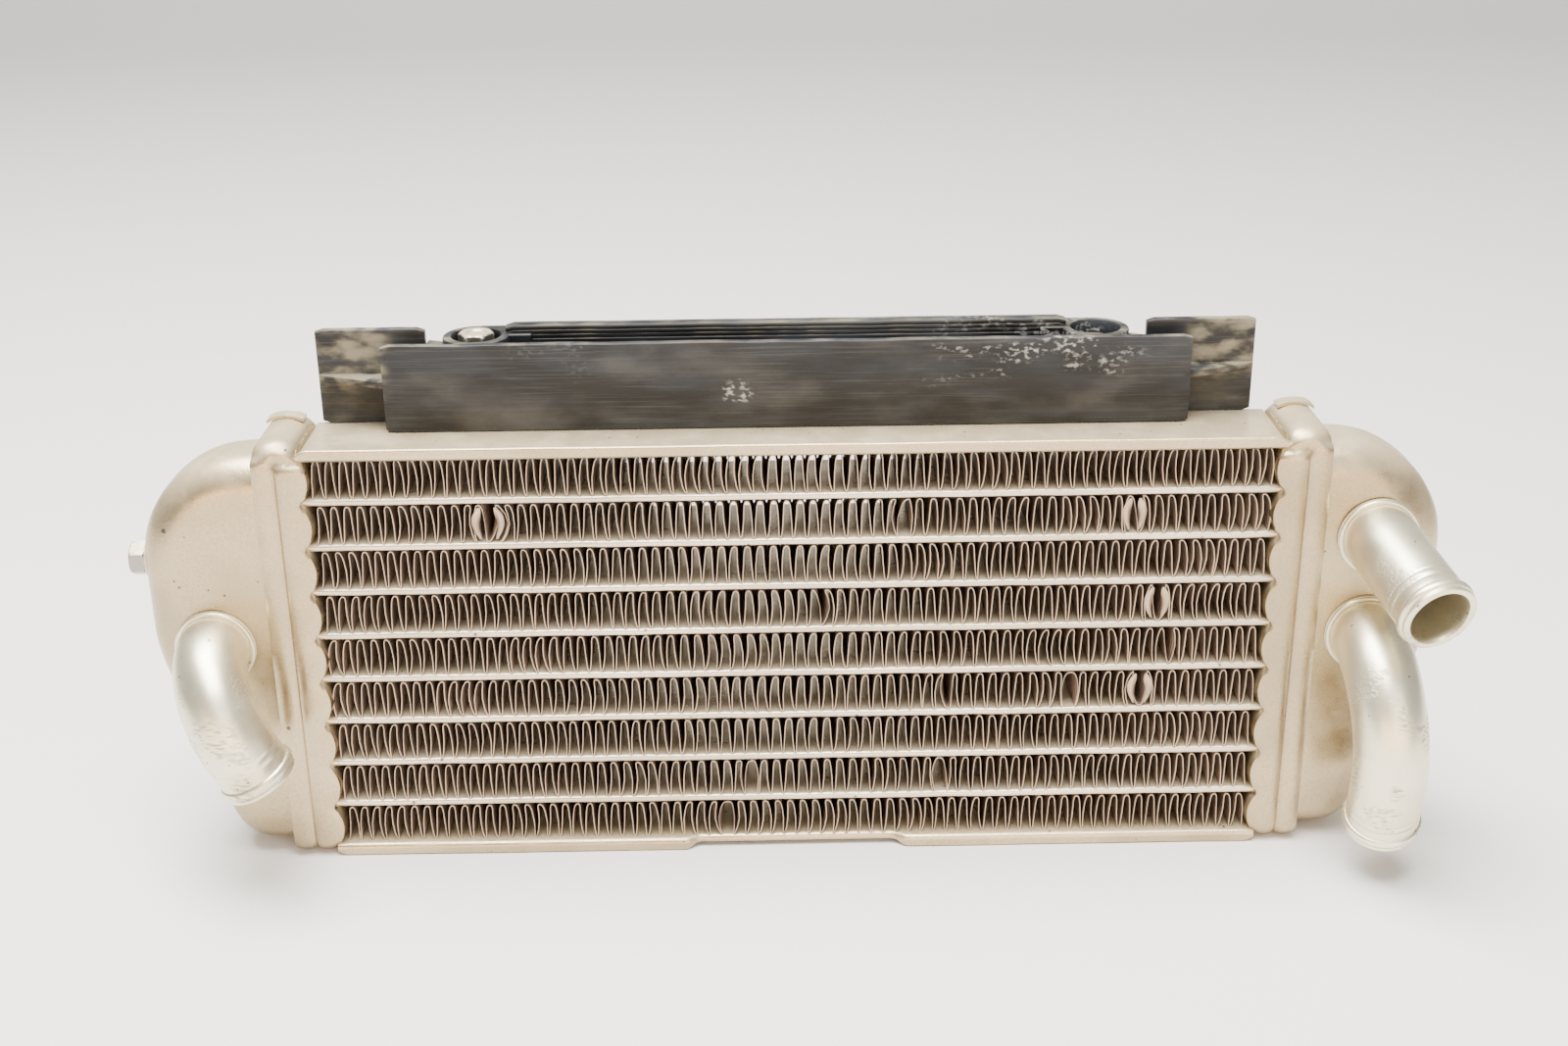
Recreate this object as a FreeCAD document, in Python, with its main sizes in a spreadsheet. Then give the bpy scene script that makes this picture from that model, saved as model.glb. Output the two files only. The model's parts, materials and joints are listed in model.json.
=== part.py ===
"""Aluminium coolant radiator with a brazed tube-and-fin core, lying on its long side.

Frame: millimetres, X along the coolant tubes, Y from the front of the core to its back,
Z up.  The origin is under the middle of the core, on the surface that the radiator rests on.
"""
import FreeCAD, Part
import math
import os
import re

import Sketcher

V = FreeCAD.Vector
ROW_COUNT = 9
TUBE_COUNT = ROW_COUNT - 1
SIDES = (("left", -1), ("right", 1))
EXACT = 1e-6
NEAR = 1e-3
NOSE_SHARE = 0.48

SIZES = (
    # core
    ("core_length", 240), ("core_depth", 24), ("tube_pitch", 12), ("tube_height", 2),
    ("tube_wall", 0.3), ("tube_nose", 0.9), ("tube_insert", 1), ("fin_wave", 3.27), ("fin_flat", 0.1),
    ("fin_sheet", 0.15), ("fin_setback", 0.2), ("braze_gap", 0.03),
    # side plates
    ("plate_sheet", 1.2), ("plate_lip", 3.4), ("plate_overhang", 2), ("plate_corner", 2.5),
    ("notch_length", 58), ("notch_slant", 4),
    # headers
    ("header_rise", 3.8), ("header_margin", 2.5), ("header_sheet", 1.6), ("collar_width", 11),
    ("header_corner", 6), ("ridge_rise", 5), ("scallop_rise", 2), ("scallop_span", 9),
    ("scallop_flat", 4), ("groove_place", 5.5), ("groove_width", 1.2), ("groove_sink", 0.6),
    ("clip_width", 4), ("clip_length", 10), ("clip_sheet", 0.8),
    # tanks
    ("tank_bulge", 31.2), ("tank_wall", 2), ("tank_shoulder", 28), ("tank_waist", 58),
    ("tank_taper", 16.5), ("tank_hip", 40), ("tank_toe", 12), ("tank_round", 9),
    ("tank_setback", 1.4),
    # pipes; each is placed outwards from the end of the core
    ("pipe_bore", 15), ("pipe_wall", 1.5), ("pipe_insert", 4), ("bead_rise", 0.8), ("bead_width", 2.4),
    ("bead_setback", 2.6), ("collar_rise", 1.1), ("collar_thick", 1.6),
    ("left_pipe_out", 25), ("left_pipe_up", 60.5), ("left_bend_radius", 18.2),
    ("left_bend", 97), ("left_bend_lean", 25), ("left_pipe_root", 1.8), ("left_pipe_tail", 10),
    ("upper_pipe_out", 24.4), ("upper_pipe_up", 86), ("upper_bend_radius", 22),
    ("upper_bend", 22), ("upper_bend_lean", 38), ("upper_pipe_root", 1.8),
    ("upper_pipe_tail", 23),
    ("lower_pipe_out", 23.5), ("lower_pipe_up", 60), ("lower_bend_radius", 22),
    ("lower_bend", 111), ("lower_bend_lean", 5), ("lower_pipe_root", 2.2),
    ("lower_pipe_tail", 17),
    # bleed screw
    ("bleed_up", 79), ("bleed_back", 2), ("bung_radius", 6), ("bung_length", 9),
    ("thread_radius", 3), ("head_flats", 8), ("head_thick", 4.2), ("washer_radius", 5.3),
    ("washer_thick", 1.2), ("bleed_reach", 10.5), ("seat_gap", 0.05), ("thread_gap", 0.06),
    # plastic side carrier and its fixings
    ("carrier_shift", -1), ("rail_length", 200), ("rail_height", 22.6), ("eye_to_rail", 12),
    ("rail_sheet", 2.2), ("shelf_level", 11), ("shelf_sheet", 2), ("flap_outer", 117.3),
    ("flap_inner", 90), ("flap_height", 24.6), ("flap_front", 12.2), ("rear_length", 141),
    ("rear_front", 17), ("rear_sheet", 4), ("rear_height", 23.6),
    ("eye_spread", 77.8), ("eye_back", 16.2), ("eye_radius", 8.4), ("eye_lug", 14),
    ("eye_bore", 6.1), ("eye_recess", 3.4), ("eye_top", 21.5), ("eye_height", 13),
    ("sit_gap", 0.1), ("bolt_radius", 3), ("bolt_hole", 3.3), ("bolt_length", 16),
    ("bracket_sheet", 2), ("bracket_width", 12), ("bracket_behind", 8.8), ("bracket_gap", 0.4),
    ("nut_flats", 10), ("nut_thick", 5),
    # how far a cutting shape runs past the face that it opens
    ("cut_over", 1),
)

doc = FreeCAD.newDocument("radiator")
sheet = doc.addObject("Spreadsheet::Sheet", "Sizes")
for line, (alias, size) in enumerate(SIZES, start=1):
    sheet.set(f"A{line}", alias)
    sheet.set(f"B{line}", str(size))
    sheet.setAlias(f"B{line}", alias)
doc.recompute()

value = {alias: float(getattr(sheet, alias)) for alias, _ in SIZES}
published = []


def size(text):
    """The expression text with every alias written as a cell of the sheet."""
    return re.sub(r"[a-z_]+", lambda m: "Sizes." * (m.group() in value) + m.group(), str(text))


def bind(thing, **bindings):
    """Tie properties of a document object to sizes on the sheet."""
    for name, text in bindings.items():
        thing.setExpression(name.replace("_", "."), size(text))


def place(thing, x=0, y=0, z=0, turn=None):
    """Put an object at a place worked out from the sheet, turned by a fixed rotation."""
    if turn:
        thing.Placement = FreeCAD.Placement(V(), turn)
    bind(thing, Placement_Base_x=x, Placement_Base_y=y, Placement_Base_z=z)
    return thing


def publish(thing, node):
    """Mark an object as one finished piece, with the name of its node."""
    thing.Label = node
    published.append(thing)
    return thing


def box(name, length, width, height, x=0, y=0, z=0):
    thing = doc.addObject("Part::Box", name)
    bind(thing, Length=length, Width=width, Height=height)
    return place(thing, x, y, z)


def rod(name, radius, length, x=0, y=0, z=0, turn=None):
    thing = doc.addObject("Part::Cylinder", name)
    bind(thing, Radius=radius, Height=length)
    return place(thing, x, y, z, turn)


def hexagon(name, flats, length, x=0, y=0, z=0, turn=None):
    thing = doc.addObject("Part::Prism", name)
    thing.Polygon = 6
    bind(thing, Circumradius=f"({flats}) / sqrt(3)", Height=length)
    return place(thing, x, y, z, turn)


def fuse(name, pieces):
    thing = doc.addObject("Part::MultiFuse", name)
    thing.Shapes = pieces
    thing.Refine = True
    return thing


def cut(name, base, tool):
    thing = doc.addObject("Part::Cut", name)
    thing.Base = base
    thing.Tool = tool
    return thing


TO_PLUS_X = FreeCAD.Rotation(V(0, 1, 0), 90)
TO_MINUS_X = FreeCAD.Rotation(V(0, 1, 0), -90)
TO_FRONT = FreeCAD.Rotation(V(1, 0, 0), 90)


def outline(body, name, role, *loops, lift=0):
    """A sketch of closed straight-sided loops, parallel to one of the body's origin planes."""
    sketch = body.newObject("Sketcher::SketchObject", name)
    plane = next(item for item in body.Origin.OriginFeatures if item.Role == role)
    sketch.AttachmentSupport = [(plane, "")]
    sketch.MapMode = "FlatFace"
    bind(sketch, AttachmentOffset_Base_z=lift)
    first = 0
    for corners in loops:
        spots = [(number(across), number(up)) for across, up in corners]
        for index, spot in enumerate(spots):
            after = spots[(index + 1) % len(spots)]
            sketch.addGeometry(Part.LineSegment(V(*spot, 0), V(*after, 0)), False)
        for index in range(len(spots)):
            after = (index + 1) % len(spots)
            ends = (first + index, 2, first + after, 1)
            sketch.addConstraint(Sketcher.Constraint("Coincident", *ends))
        for index, (corner, spot) in enumerate(zip(corners, spots)):
            for kind, text, start in zip(("DistanceX", "DistanceY"), corner, spot):
                rule = Sketcher.Constraint(kind, -1, 1, first + index, 1, start)
                row = sketch.addConstraint(rule)
                sketch.setExpression(f"Constraints[{row}]", size(text))
        first += len(spots)
    return sketch


def rectangle(left, low, right, high):
    return ((left, low), (right, low), (right, high), (left, high))


def number(text):
    """What an expression on the sheet comes to, for a sketch's first drawing."""
    return float(sheet.evalExpression(size(text)))


def pad(body, sketch, length, centred=False, backwards=False):
    feature = body.newObject("PartDesign::Pad", sketch.Name + "_pad")
    feature.Profile = sketch
    feature.Midplane = centred
    feature.Reversed = backwards
    bind(feature, Length=length)
    doc.recompute()
    return feature


def pocket(body, sketch, length, backwards=None):
    """Cut a sketch out of the body, both ways when no direction is given."""
    before = body.Tip.Shape.Volume
    feature = body.newObject("PartDesign::Pocket", sketch.Name + "_cut")
    feature.Profile = sketch
    feature.Midplane = backwards is None
    feature.Reversed = bool(backwards)
    bind(feature, Length=length)
    body.Tip = feature
    doc.recompute()
    if feature.Shape.Volume > before - NEAR:
        raise RuntimeError(feature.Name + " cuts nothing")
    return feature


def repeat(body, feature, count):
    """Copies of a feature up the core, one tube pitch apart."""
    pattern = body.newObject("PartDesign::LinearPattern", feature.Name + "_repeat")
    pattern.Originals = [feature]
    axis = next(item for item in body.Origin.OriginFeatures if item.Role == "Z_Axis")
    pattern.Direction = (axis, [""])
    pattern.Occurrences = count
    bind(pattern, Length=f"{count - 1} * tube_pitch")
    body.Tip = pattern
    doc.recompute()
    return pattern


def round_edges(body, base, radius, chosen):
    """Fillet the edges of a feature that a test picks out."""
    names = [f"Edge{index}" for index, edge in enumerate(base.Shape.Edges, start=1) if chosen(edge)]
    feature = body.newObject("PartDesign::Fillet", base.Name + "_round")
    feature.Base = (base, names)
    bind(feature, Radius=radius)
    doc.recompute()
    return feature


def runs_along(edge, axis):
    """True for a straight edge that is parallel to a direction."""
    if len(edge.Vertexes) != 2 or not isinstance(edge.Curve, (Part.Line, Part.LineSegment)):
        return False
    run = edge.Vertexes[1].Point - edge.Vertexes[0].Point
    return run.Length > 0 and abs(abs(run.normalize().dot(axis)) - 1) < EXACT


def new_body(name):
    return doc.addObject("PartDesign::Body", name)


# ---- levels that several pieces share -------------------------------------------------------

CORE_BASE = "plate_lip"
CORE_TOP = f"({CORE_BASE} + {ROW_COUNT} * tube_pitch - tube_height)"
PLATE_TOP = f"({CORE_TOP} + plate_sheet)"
HEADER_TOP = f"({PLATE_TOP} + header_rise)"
HALF_CORE = "(core_length / 2)"
PLATE_HALF_DEPTH = "(core_depth / 2 + plate_overhang)"
TANK_FACE = f"({HALF_CORE} + header_sheet + tank_setback)"
TANK_OUTER = f"({HALF_CORE} + collar_width + tank_bulge)"
SKIRT_GAP = "(header_sheet + braze_gap)"
TANK_HALF_DEPTH = f"(core_depth / 2 + header_margin - {SKIRT_GAP})"


def tube_level(index):
    """Height of the middle of a tube; index 0 is the lowest."""
    return f"({CORE_BASE} + (tube_pitch - tube_height / 2) + {index} * tube_pitch)"


def row_level(index):
    """Height of the middle of a fin row; index 0 is the lowest."""
    return f"({CORE_BASE} + (tube_pitch - tube_height) / 2 + {index} * tube_pitch)"


# ---- core -----------------------------------------------------------------------------------

def make_tube(index):
    """Flat extruded tube with rounded noses; its ends pass through the headers."""
    body = new_body(f"Tube{index + 1}")
    outer = outline(body, f"TubeOuter{index + 1}", "YZ_Plane", rectangle(
        "-core_depth / 2", "-tube_height / 2", "core_depth / 2", "tube_height / 2"))
    length = "core_length + 2 * (header_sheet + tube_insert)"
    blank = pad(body, outer, length, centred=True)
    round_edges(body, blank, f"tube_height * {NOSE_SHARE}", lambda e: runs_along(e, V(1, 0, 0)))
    half = "(core_depth / 2 - tube_nose)"
    inside = "(tube_height / 2 - tube_wall)"
    bore = outline(body, f"TubeBore{index + 1}", "YZ_Plane",
                   rectangle(f"-{half}", f"-{inside}", half, inside))
    pocket(body, bore, f"{length} + 2 * cut_over")
    place(body, z=tube_level(index))
    return publish(body, f"coolant_tube_{index + 1}")


def offset_line(spots, distance):
    """A polyline moved sideways by a distance, with mitred corners."""
    moved = []
    for index, spot in enumerate(spots):
        before = spots[index] - spots[index - 1] if index else spots[1] - spots[0]
        after = spots[index + 1] - spot if index + 1 < len(spots) else before
        normals = [V(-run.z, 0, run.x).normalize() for run in (before, after)]
        middle = (normals[0] + normals[1]).normalize()
        moved.append(spot + middle * (distance / middle.dot(normals[0])))
    return moved


def fin_shape():
    """One row of folded fin: a thin strip that climbs and drops between two tubes."""
    strip = value["fin_sheet"]
    height = value["tube_pitch"] - value["tube_height"] - 2 * value["braze_gap"] - strip
    depth = value["core_depth"] - 2 * value["fin_setback"]
    clear = value["core_length"] - 2 * (value["scallop_rise"] + strip)
    folds = round(clear / value["fin_wave"])
    wave = clear / folds
    flat = wave * value["fin_flat"]
    leg = wave / 2 - flat
    start = -folds * wave / 2
    front, low, high = -depth / 2, -height / 2, height / 2
    spine = [V(start, front, low)]
    for fold in range(folds):
        left = start + fold * wave + flat / 2
        spine += [V(left, front, low), V(left + leg, front, high)]
        spine += [V(left + leg + flat, front, high), V(left + 2 * leg + flat, front, low)]
    spine.append(V(-start, front, low))
    edge = offset_line(spine, strip / 2) + offset_line(spine, -strip / 2)[::-1]
    return Part.Face(Part.makePolygon(edge + [edge[0]])).extrude(V(0, depth, 0))


def make_fin_rows():
    shape = fin_shape()
    for index in range(ROW_COUNT):
        row = doc.addObject("Part::Feature", f"FinRow{index + 1}")
        row.Shape = shape
        place(row, z=row_level(index))
        publish(row, f"fin_row_{index + 1}")


def make_side_plate(node, top):
    """Folded sheet that closes the core: a flat web with a lip along its front edge."""
    sign = "" if top else "-"
    body = new_body("TopPlate" if top else "BottomPlate")
    front = f"-{PLATE_HALF_DEPTH}"
    inside = f"{front} + plate_sheet"
    profile = outline(body, body.Name + "Profile", "YZ_Plane", (
        (front, "0"), (PLATE_HALF_DEPTH, "0"), (PLATE_HALF_DEPTH, f"{sign}plate_sheet"),
        (inside, f"{sign}plate_sheet"), (inside, f"{sign}plate_lip"), (front, f"{sign}plate_lip")))
    length = "core_length - 2 * seat_gap"
    blank = pad(body, profile, length, centred=True)
    reach = value["plate_lip"] * (1 if top else -1)
    tip = round_edges(body, blank, "plate_corner", lambda e: runs_along(e, V(0, 1, 0))
                      and e.Length < value["plate_sheet"] * 1.5
                      and abs(e.CenterOfMass.z - reach) < EXACT)
    if not top:
        half = "(notch_length / 2)"
        notch = outline(body, "PlateNotch", "XY_Plane", (
            (f"-{half}", f"{front} - cut_over"), (half, f"{front} - cut_over"),
            (f"{half} - notch_slant", "-core_depth / 2"),
            (f"-{half} + notch_slant", "-core_depth / 2")))
        tip = pocket(body, notch, "4 * plate_lip")
    body.Tip = tip
    place(body, z=CORE_TOP if top else CORE_BASE)
    return publish(body, node)


# ---- headers --------------------------------------------------------------------------------

def make_header(side, sign):
    """Drawn sheet that the tubes pass through, folded round the open edge of its tank."""
    body = new_body(side.title() + "Header")
    name = body.Name
    outwards = sign < 0
    half = "(core_depth / 2 + header_margin)"
    block = outline(body, name + "Block", "YZ_Plane",
                    rectangle(f"-{half}", "0", half, HEADER_TOP))
    blank = pad(body, block, "collar_width", backwards=outwards)
    round_edges(body, blank, "header_corner", lambda e: runs_along(e, V(1, 0, 0)))

    lens = outline(body, name + "Scallop", "XZ_Plane", (
        ("0", f"{row_level(0)} - scallop_span / 2"),
        (f"{-sign} * scallop_rise", f"{row_level(0)} - scallop_flat / 2"),
        (f"{-sign} * scallop_rise", f"{row_level(0)} + scallop_flat / 2"),
        ("0", f"{row_level(0)} + scallop_span / 2")))
    bulge = pad(body, lens, f"2 * ({half} - header_sheet)", centred=True)
    repeat(body, bulge, ROW_COUNT)

    inset = "header_sheet"
    hollow = outline(body, name + "Hollow", "YZ_Plane",
                     rectangle(f"-{half} + {inset}", inset, f"{half} - {inset}",
                               f"{HEADER_TOP} - ridge_rise"), lift=f"{sign} * header_sheet")
    pocket(body, hollow, "collar_width", backwards=not outwards)

    slot = outline(body, name + "Slot", "YZ_Plane", rectangle(
        "-core_depth / 2 - braze_gap", f"{tube_level(0)} - tube_height / 2 - braze_gap",
        "core_depth / 2 + braze_gap", f"{tube_level(0)} + tube_height / 2 + braze_gap"))
    repeat(body, pocket(body, slot, "2 * collar_width"), TUBE_COUNT)

    groove = outline(body, name + "Groove", "YZ_Plane",
                     rectangle(f"-{half} - cut_over", "-cut_over", f"{half} + cut_over",
                               f"{HEADER_TOP} + cut_over"),
                     rectangle(f"-{half} + groove_sink", "groove_sink",
                               f"{half} - groove_sink", f"{HEADER_TOP} - groove_sink"),
                     lift=f"{sign} * groove_place")
    pocket(body, groove, "groove_width")

    clip = outline(body, name + "Clip", "XY_Plane", rectangle(
        f"{sign} * (collar_width - clip_length)", f"{half} - header_corner - clip_width",
        f"{sign} * collar_width", f"{half} - header_corner"), lift=HEADER_TOP)
    body.Tip = pad(body, clip, "clip_sheet")
    place(body, x=f"{sign} * {HALF_CORE}")
    return publish(body, side + "_header")


# ---- pipes ----------------------------------------------------------------------------------

def pipe_run(name, radius, root, bend_radius, bend, tail, start, overrun):
    """A round bar that goes straight up, bends towards +X, and goes straight on."""
    turn = f"({bend} * 1 deg)"
    first = rod(name + "Root", radius, f"{root} - ({start})", z=start)
    arc = doc.addObject("Part::Torus", name + "Bend")
    bind(arc, Radius1=bend_radius, Radius2=radius, Angle3=bend)
    place(arc, x=bend_radius, z=root, turn=FreeCAD.Rotation(V(-1, 0, 0), V(0, 0, 1), V(0, 1, 0)))
    last = rod(name + "Tail", radius, f"{tail} + {overrun}")
    aim(last, bend_radius, turn, root, "0")
    return fuse(name, [first, arc, last])


def aim(thing, bend_radius, turn, root, along):
    """Stand an object at a distance along the straight end of a bent pipe."""
    thing.Placement = FreeCAD.Placement(V(), FreeCAD.Rotation(V(0, 1, 0), 1))
    bind(thing, Placement_Rotation_Angle=turn,
         Placement_Base_x=f"{bend_radius} * (1 - cos({turn})) + {along} * sin({turn})",
         Placement_Base_z=f"{root} + {bend_radius} * sin({turn}) + {along} * cos({turn})")


def make_pipe(node, key, sign):
    """Hose pipe with a bead at its mouth, brazed through the front wall of a tank."""
    name = node.title().replace("_", "")
    pipe_radius = "(pipe_bore / 2 + pipe_wall)"
    root, tail = f"{key}_pipe_root", f"{key}_pipe_tail"
    bend_radius, bend = f"{key}_bend_radius", f"{key}_bend"
    run = (root, bend_radius, bend, tail)
    turn = f"({bend} * 1 deg)"
    outer = pipe_run(name + "Outer", pipe_radius, *run, "-pipe_insert", "0")
    bore = pipe_run(name + "Bore", "pipe_bore / 2", *run, "-pipe_insert - cut_over", "cut_over")
    bead = doc.addObject("Part::Torus", name + "Bead")
    bind(bead, Radius1=f"{pipe_radius} + bead_rise - bead_width / 2", Radius2="bead_width / 2")
    aim(bead, bend_radius, turn, root, f"({tail} - bead_setback)")
    pipe = cut(name, fuse(name + "Beaded", [outer, bead]), bore)

    lean = math.radians(value[f"{key}_bend_lean"])
    facing = FreeCAD.Rotation(V(math.sin(lean), 0, -math.cos(lean)),
                              V(math.cos(lean), 0, math.sin(lean)), V(0, -1, 0))
    spot = {"x": f"{sign} * ({HALF_CORE} + {key}_pipe_out)", "z": f"{key}_pipe_up"}
    place(pipe, y=f"-{TANK_HALF_DEPTH}", turn=facing, **spot)
    publish(pipe, node)

    ring = rod(name + "Ring", f"{pipe_radius} + collar_rise", "collar_thick",
               y=f"-{TANK_HALF_DEPTH} - braze_gap", turn=TO_FRONT, **spot)
    passage = rod(name + "Passage", f"{pipe_radius} + braze_gap", "2 * collar_thick",
                  y=f"-{TANK_HALF_DEPTH} + cut_over", turn=TO_FRONT, **spot)
    publish(cut(name + "Collar", ring, passage), node.replace("_pipe", "_pipe_collar"))
    return rod(name + "Hole", f"{pipe_radius} + braze_gap", "pipe_insert + tank_wall",
               y=f"-{TANK_HALF_DEPTH} + pipe_insert", turn=TO_FRONT, **spot)


# ---- tanks ----------------------------------------------------------------------------------

def make_tank(side, sign, tools):
    """Pressed shell, full and round at the top and drawn in towards the bottom."""
    body = new_body(side.title() + "TankShell")
    low, high = SKIRT_GAP, f"({HEADER_TOP} - ridge_rise - braze_gap)"
    face, outer = f"{sign} * {TANK_FACE}", f"{sign} * {TANK_OUTER}"
    profile = outline(body, body.Name + "Profile", "XZ_Plane", (
        (face, low), (f"{sign} * ({TANK_OUTER} - tank_taper)", low), (outer, "tank_waist"),
        (outer, high), (face, high)))
    tip = pad(body, profile, f"2 * {TANK_HALF_DEPTH}", centred=True)
    for radius, level in (("tank_shoulder", high), ("tank_hip", "tank_waist"), ("tank_toe", low)):
        height = number(level)
        tip = round_edges(body, tip, radius, lambda e: runs_along(e, V(0, 1, 0))
                          and abs(e.CenterOfMass.z - height) < NEAR
                          and abs(e.CenterOfMass.x) > number(TANK_FACE) + 1)
    deep = number(TANK_HALF_DEPTH)
    tip = round_edges(body, tip, "tank_round", lambda e: abs(abs(e.CenterOfMass.y) - deep) < NEAR
                      and abs(e.CenterOfMass.x) > number(TANK_FACE) + NEAR)
    mouth = number(face)
    names = [f"Face{index}" for index, item in enumerate(tip.Shape.Faces, start=1)
             if abs(item.CenterOfMass.x - mouth) < NEAR]
    shell = body.newObject("PartDesign::Thickness", body.Name + "Wall")
    shell.Base = (tip, names)
    shell.Reversed = True
    bind(shell, Value="tank_wall")
    body.Tip = shell
    doc.recompute()
    tool = tools[0] if len(tools) == 1 else fuse(side.title() + "TankHoles", tools)
    return publish(cut(side.title() + "Tank", body, tool), side + "_tank")


# ---- bleed screw ----------------------------------------------------------------------------

def make_bleed():
    """Threaded bung in the left tank's end, and the screw and washer that close it."""
    centre = {"y": "bleed_back", "z": "bleed_up", "turn": TO_MINUS_X}
    inner_end = f"-{TANK_OUTER} + bung_length"
    bung = rod("Bung", "bung_radius", "bung_length", x=inner_end, **centre)
    thread = rod("BungThread", "thread_radius + thread_gap", "bung_length + 2 * cut_over",
                 x=f"{inner_end} + cut_over", **centre)
    publish(cut("BleedBung", bung, thread), "bleed_bung")

    seat = f"-{TANK_OUTER} - seat_gap"
    disc = rod("WasherDisc", "washer_radius", "washer_thick", x=seat, **centre)
    hole = rod("WasherHole", "thread_radius + thread_gap", "washer_thick + 2 * cut_over",
               x=f"{seat} + cut_over", **centre)
    publish(cut("BleedWasher", disc, hole), "bleed_washer")

    under_head = f"({seat} - washer_thick - seat_gap)"
    head = hexagon("BleedHead", "head_flats", "head_thick", x=under_head, **centre)
    shank = rod("BleedShank", "thread_radius", "bleed_reach + head_thick / 2",
                x=f"{under_head} + bleed_reach", **centre)
    publish(fuse("BleedScrew", [head, shank]), "bleed_screw")
    return rod("BungHole", "bung_radius + braze_gap", "bung_length + 2 * cut_over",
               x=f"{inner_end} + cut_over", **centre)


# ---- plastic side carrier -------------------------------------------------------------------

CARRIER_BASE = f"({PLATE_TOP} + sit_gap)"
EYE_TOP = f"({CARRIER_BASE} + eye_top)"
EYE_LOW = f"({EYE_TOP} - eye_height)"
BRACKET_TOP = f"({EYE_LOW} - sit_gap)"
RAIL_FRONT = "(eye_back - eye_to_rail)"
BRACKET_FRONT = f"({RAIL_FRONT} + rail_sheet + bracket_gap)"
BRACKET_DEEP = f"(eye_back + bracket_behind - {BRACKET_FRONT})"


def eye_across(sign):
    return f"(carrier_shift + {sign} * eye_spread)"


def make_carrier():
    """One moulding: front rail, two end flaps, rear rail, a flat shelf and two screw eyes."""
    pieces = [
        box("FrontRail", "rail_length", "rail_sheet", "rail_height",
            "carrier_shift - rail_length / 2", RAIL_FRONT, CARRIER_BASE),
        box("RearRail", "rear_length", "rear_sheet", "rear_height",
            "carrier_shift - rear_length / 2", "rear_front", CARRIER_BASE)]
    for side, sign in SIDES:
        edge = "flap_inner" if sign > 0 else "-flap_outer"
        pieces.append(box(side.title() + "Flap", "flap_outer - flap_inner", "rail_sheet",
                          "flap_height", f"carrier_shift + {edge}", "flap_front", CARRIER_BASE))
        pieces.append(rod(side.title() + "Eye", "eye_radius", "eye_height",
                          eye_across(sign), "eye_back", EYE_LOW))
        inner = eye_across(sign) + (" - eye_lug" if sign > 0 else "")
        pieces.append(box(side.title() + "Lug", "eye_lug", "eye_radius", "eye_height",
                          inner, "eye_back", EYE_LOW))
    shelf_body = new_body("Shelf")
    back = "rear_front + rear_sheet / 2"
    shelf = outline(shelf_body, "ShelfOutline", "XY_Plane", (
        ("-rail_length / 2", f"{RAIL_FRONT} + rail_sheet / 2"),
        ("rail_length / 2", f"{RAIL_FRONT} + rail_sheet / 2"), ("flap_outer", "flap_front"),
        ("flap_outer", "flap_front + rail_sheet"), ("flap_inner", "flap_front + rail_sheet"),
        ("eye_spread", back), ("-eye_spread", back), ("-flap_inner", "flap_front + rail_sheet"),
        ("-flap_outer", "flap_front + rail_sheet"), ("-flap_outer", "flap_front")))
    pad(shelf_body, shelf, "shelf_sheet")
    place(shelf_body, x="carrier_shift", z=f"{CARRIER_BASE} + shelf_level")
    holes = []
    for side, sign in SIDES:
        holes.append(rod(side.title() + "Recess", "eye_bore", "eye_recess + cut_over",
                         eye_across(sign), "eye_back", f"{EYE_TOP} - eye_recess"))
        holes.append(rod(side.title() + "Passage", "bolt_hole", "eye_height + 2 * cut_over",
                         eye_across(sign), "eye_back", f"{EYE_LOW} - cut_over"))
    solid = fuse("CarrierSolid", pieces + [shelf_body])
    publish(cut("Carrier", solid, fuse("CarrierHoles", holes)), "side_carrier")


def make_brackets():
    """Sheet brackets on the top plate, with a weld nut under each eye, and the one bolt."""
    nuts = []
    for side, sign in SIDES:
        name = side.title() + "Bracket"
        corner = f"{eye_across(sign)} - bracket_width / 2"
        top = box(name + "Top", "bracket_width", BRACKET_DEEP,
                  "bracket_sheet", corner, BRACKET_FRONT, f"{BRACKET_TOP} - bracket_sheet")
        leg = box(name + "Leg", "bracket_width", "bracket_sheet",
                  f"{BRACKET_TOP} - {PLATE_TOP} - braze_gap", corner, BRACKET_FRONT,
                  f"{PLATE_TOP} + braze_gap")
        hole = rod(name + "Hole", "bolt_hole", "bracket_sheet + 2 * cut_over", eye_across(sign),
                   "eye_back", f"{BRACKET_TOP} - bracket_sheet - cut_over")
        publish(cut(name, fuse(name + "Solid", [top, leg]), hole), f"{side}_mount_bracket")
        under = f"{BRACKET_TOP} - bracket_sheet - nut_thick - braze_gap"
        nut = hexagon(side.title() + "Nut", "nut_flats", "nut_thick", eye_across(sign),
                      "eye_back", under)
        thread = rod(side.title() + "NutThread", "bolt_radius + thread_gap", "nut_thick + 2 * cut_over",
                     eye_across(sign), "eye_back", f"{under} - cut_over")
        nuts.append(cut(side.title() + "WeldNut", nut, thread))
    pair = doc.addObject("Part::Compound", "WeldNuts")
    pair.Links = nuts
    publish(pair, "bracket_weld_nuts")

    seat = f"({EYE_TOP} - eye_recess + seat_gap)"
    head = hexagon("BoltHead", "head_flats", "head_thick", eye_across(-1), "eye_back", seat)
    shank = rod("BoltShank", "bolt_radius", "bolt_length + head_thick / 2", eye_across(-1),
                "eye_back", f"{seat} - bolt_length")
    publish(fuse("CarrierBolt", [head, shank]), "carrier_bolt")


# ---- the whole radiator ---------------------------------------------------------------------

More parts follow.
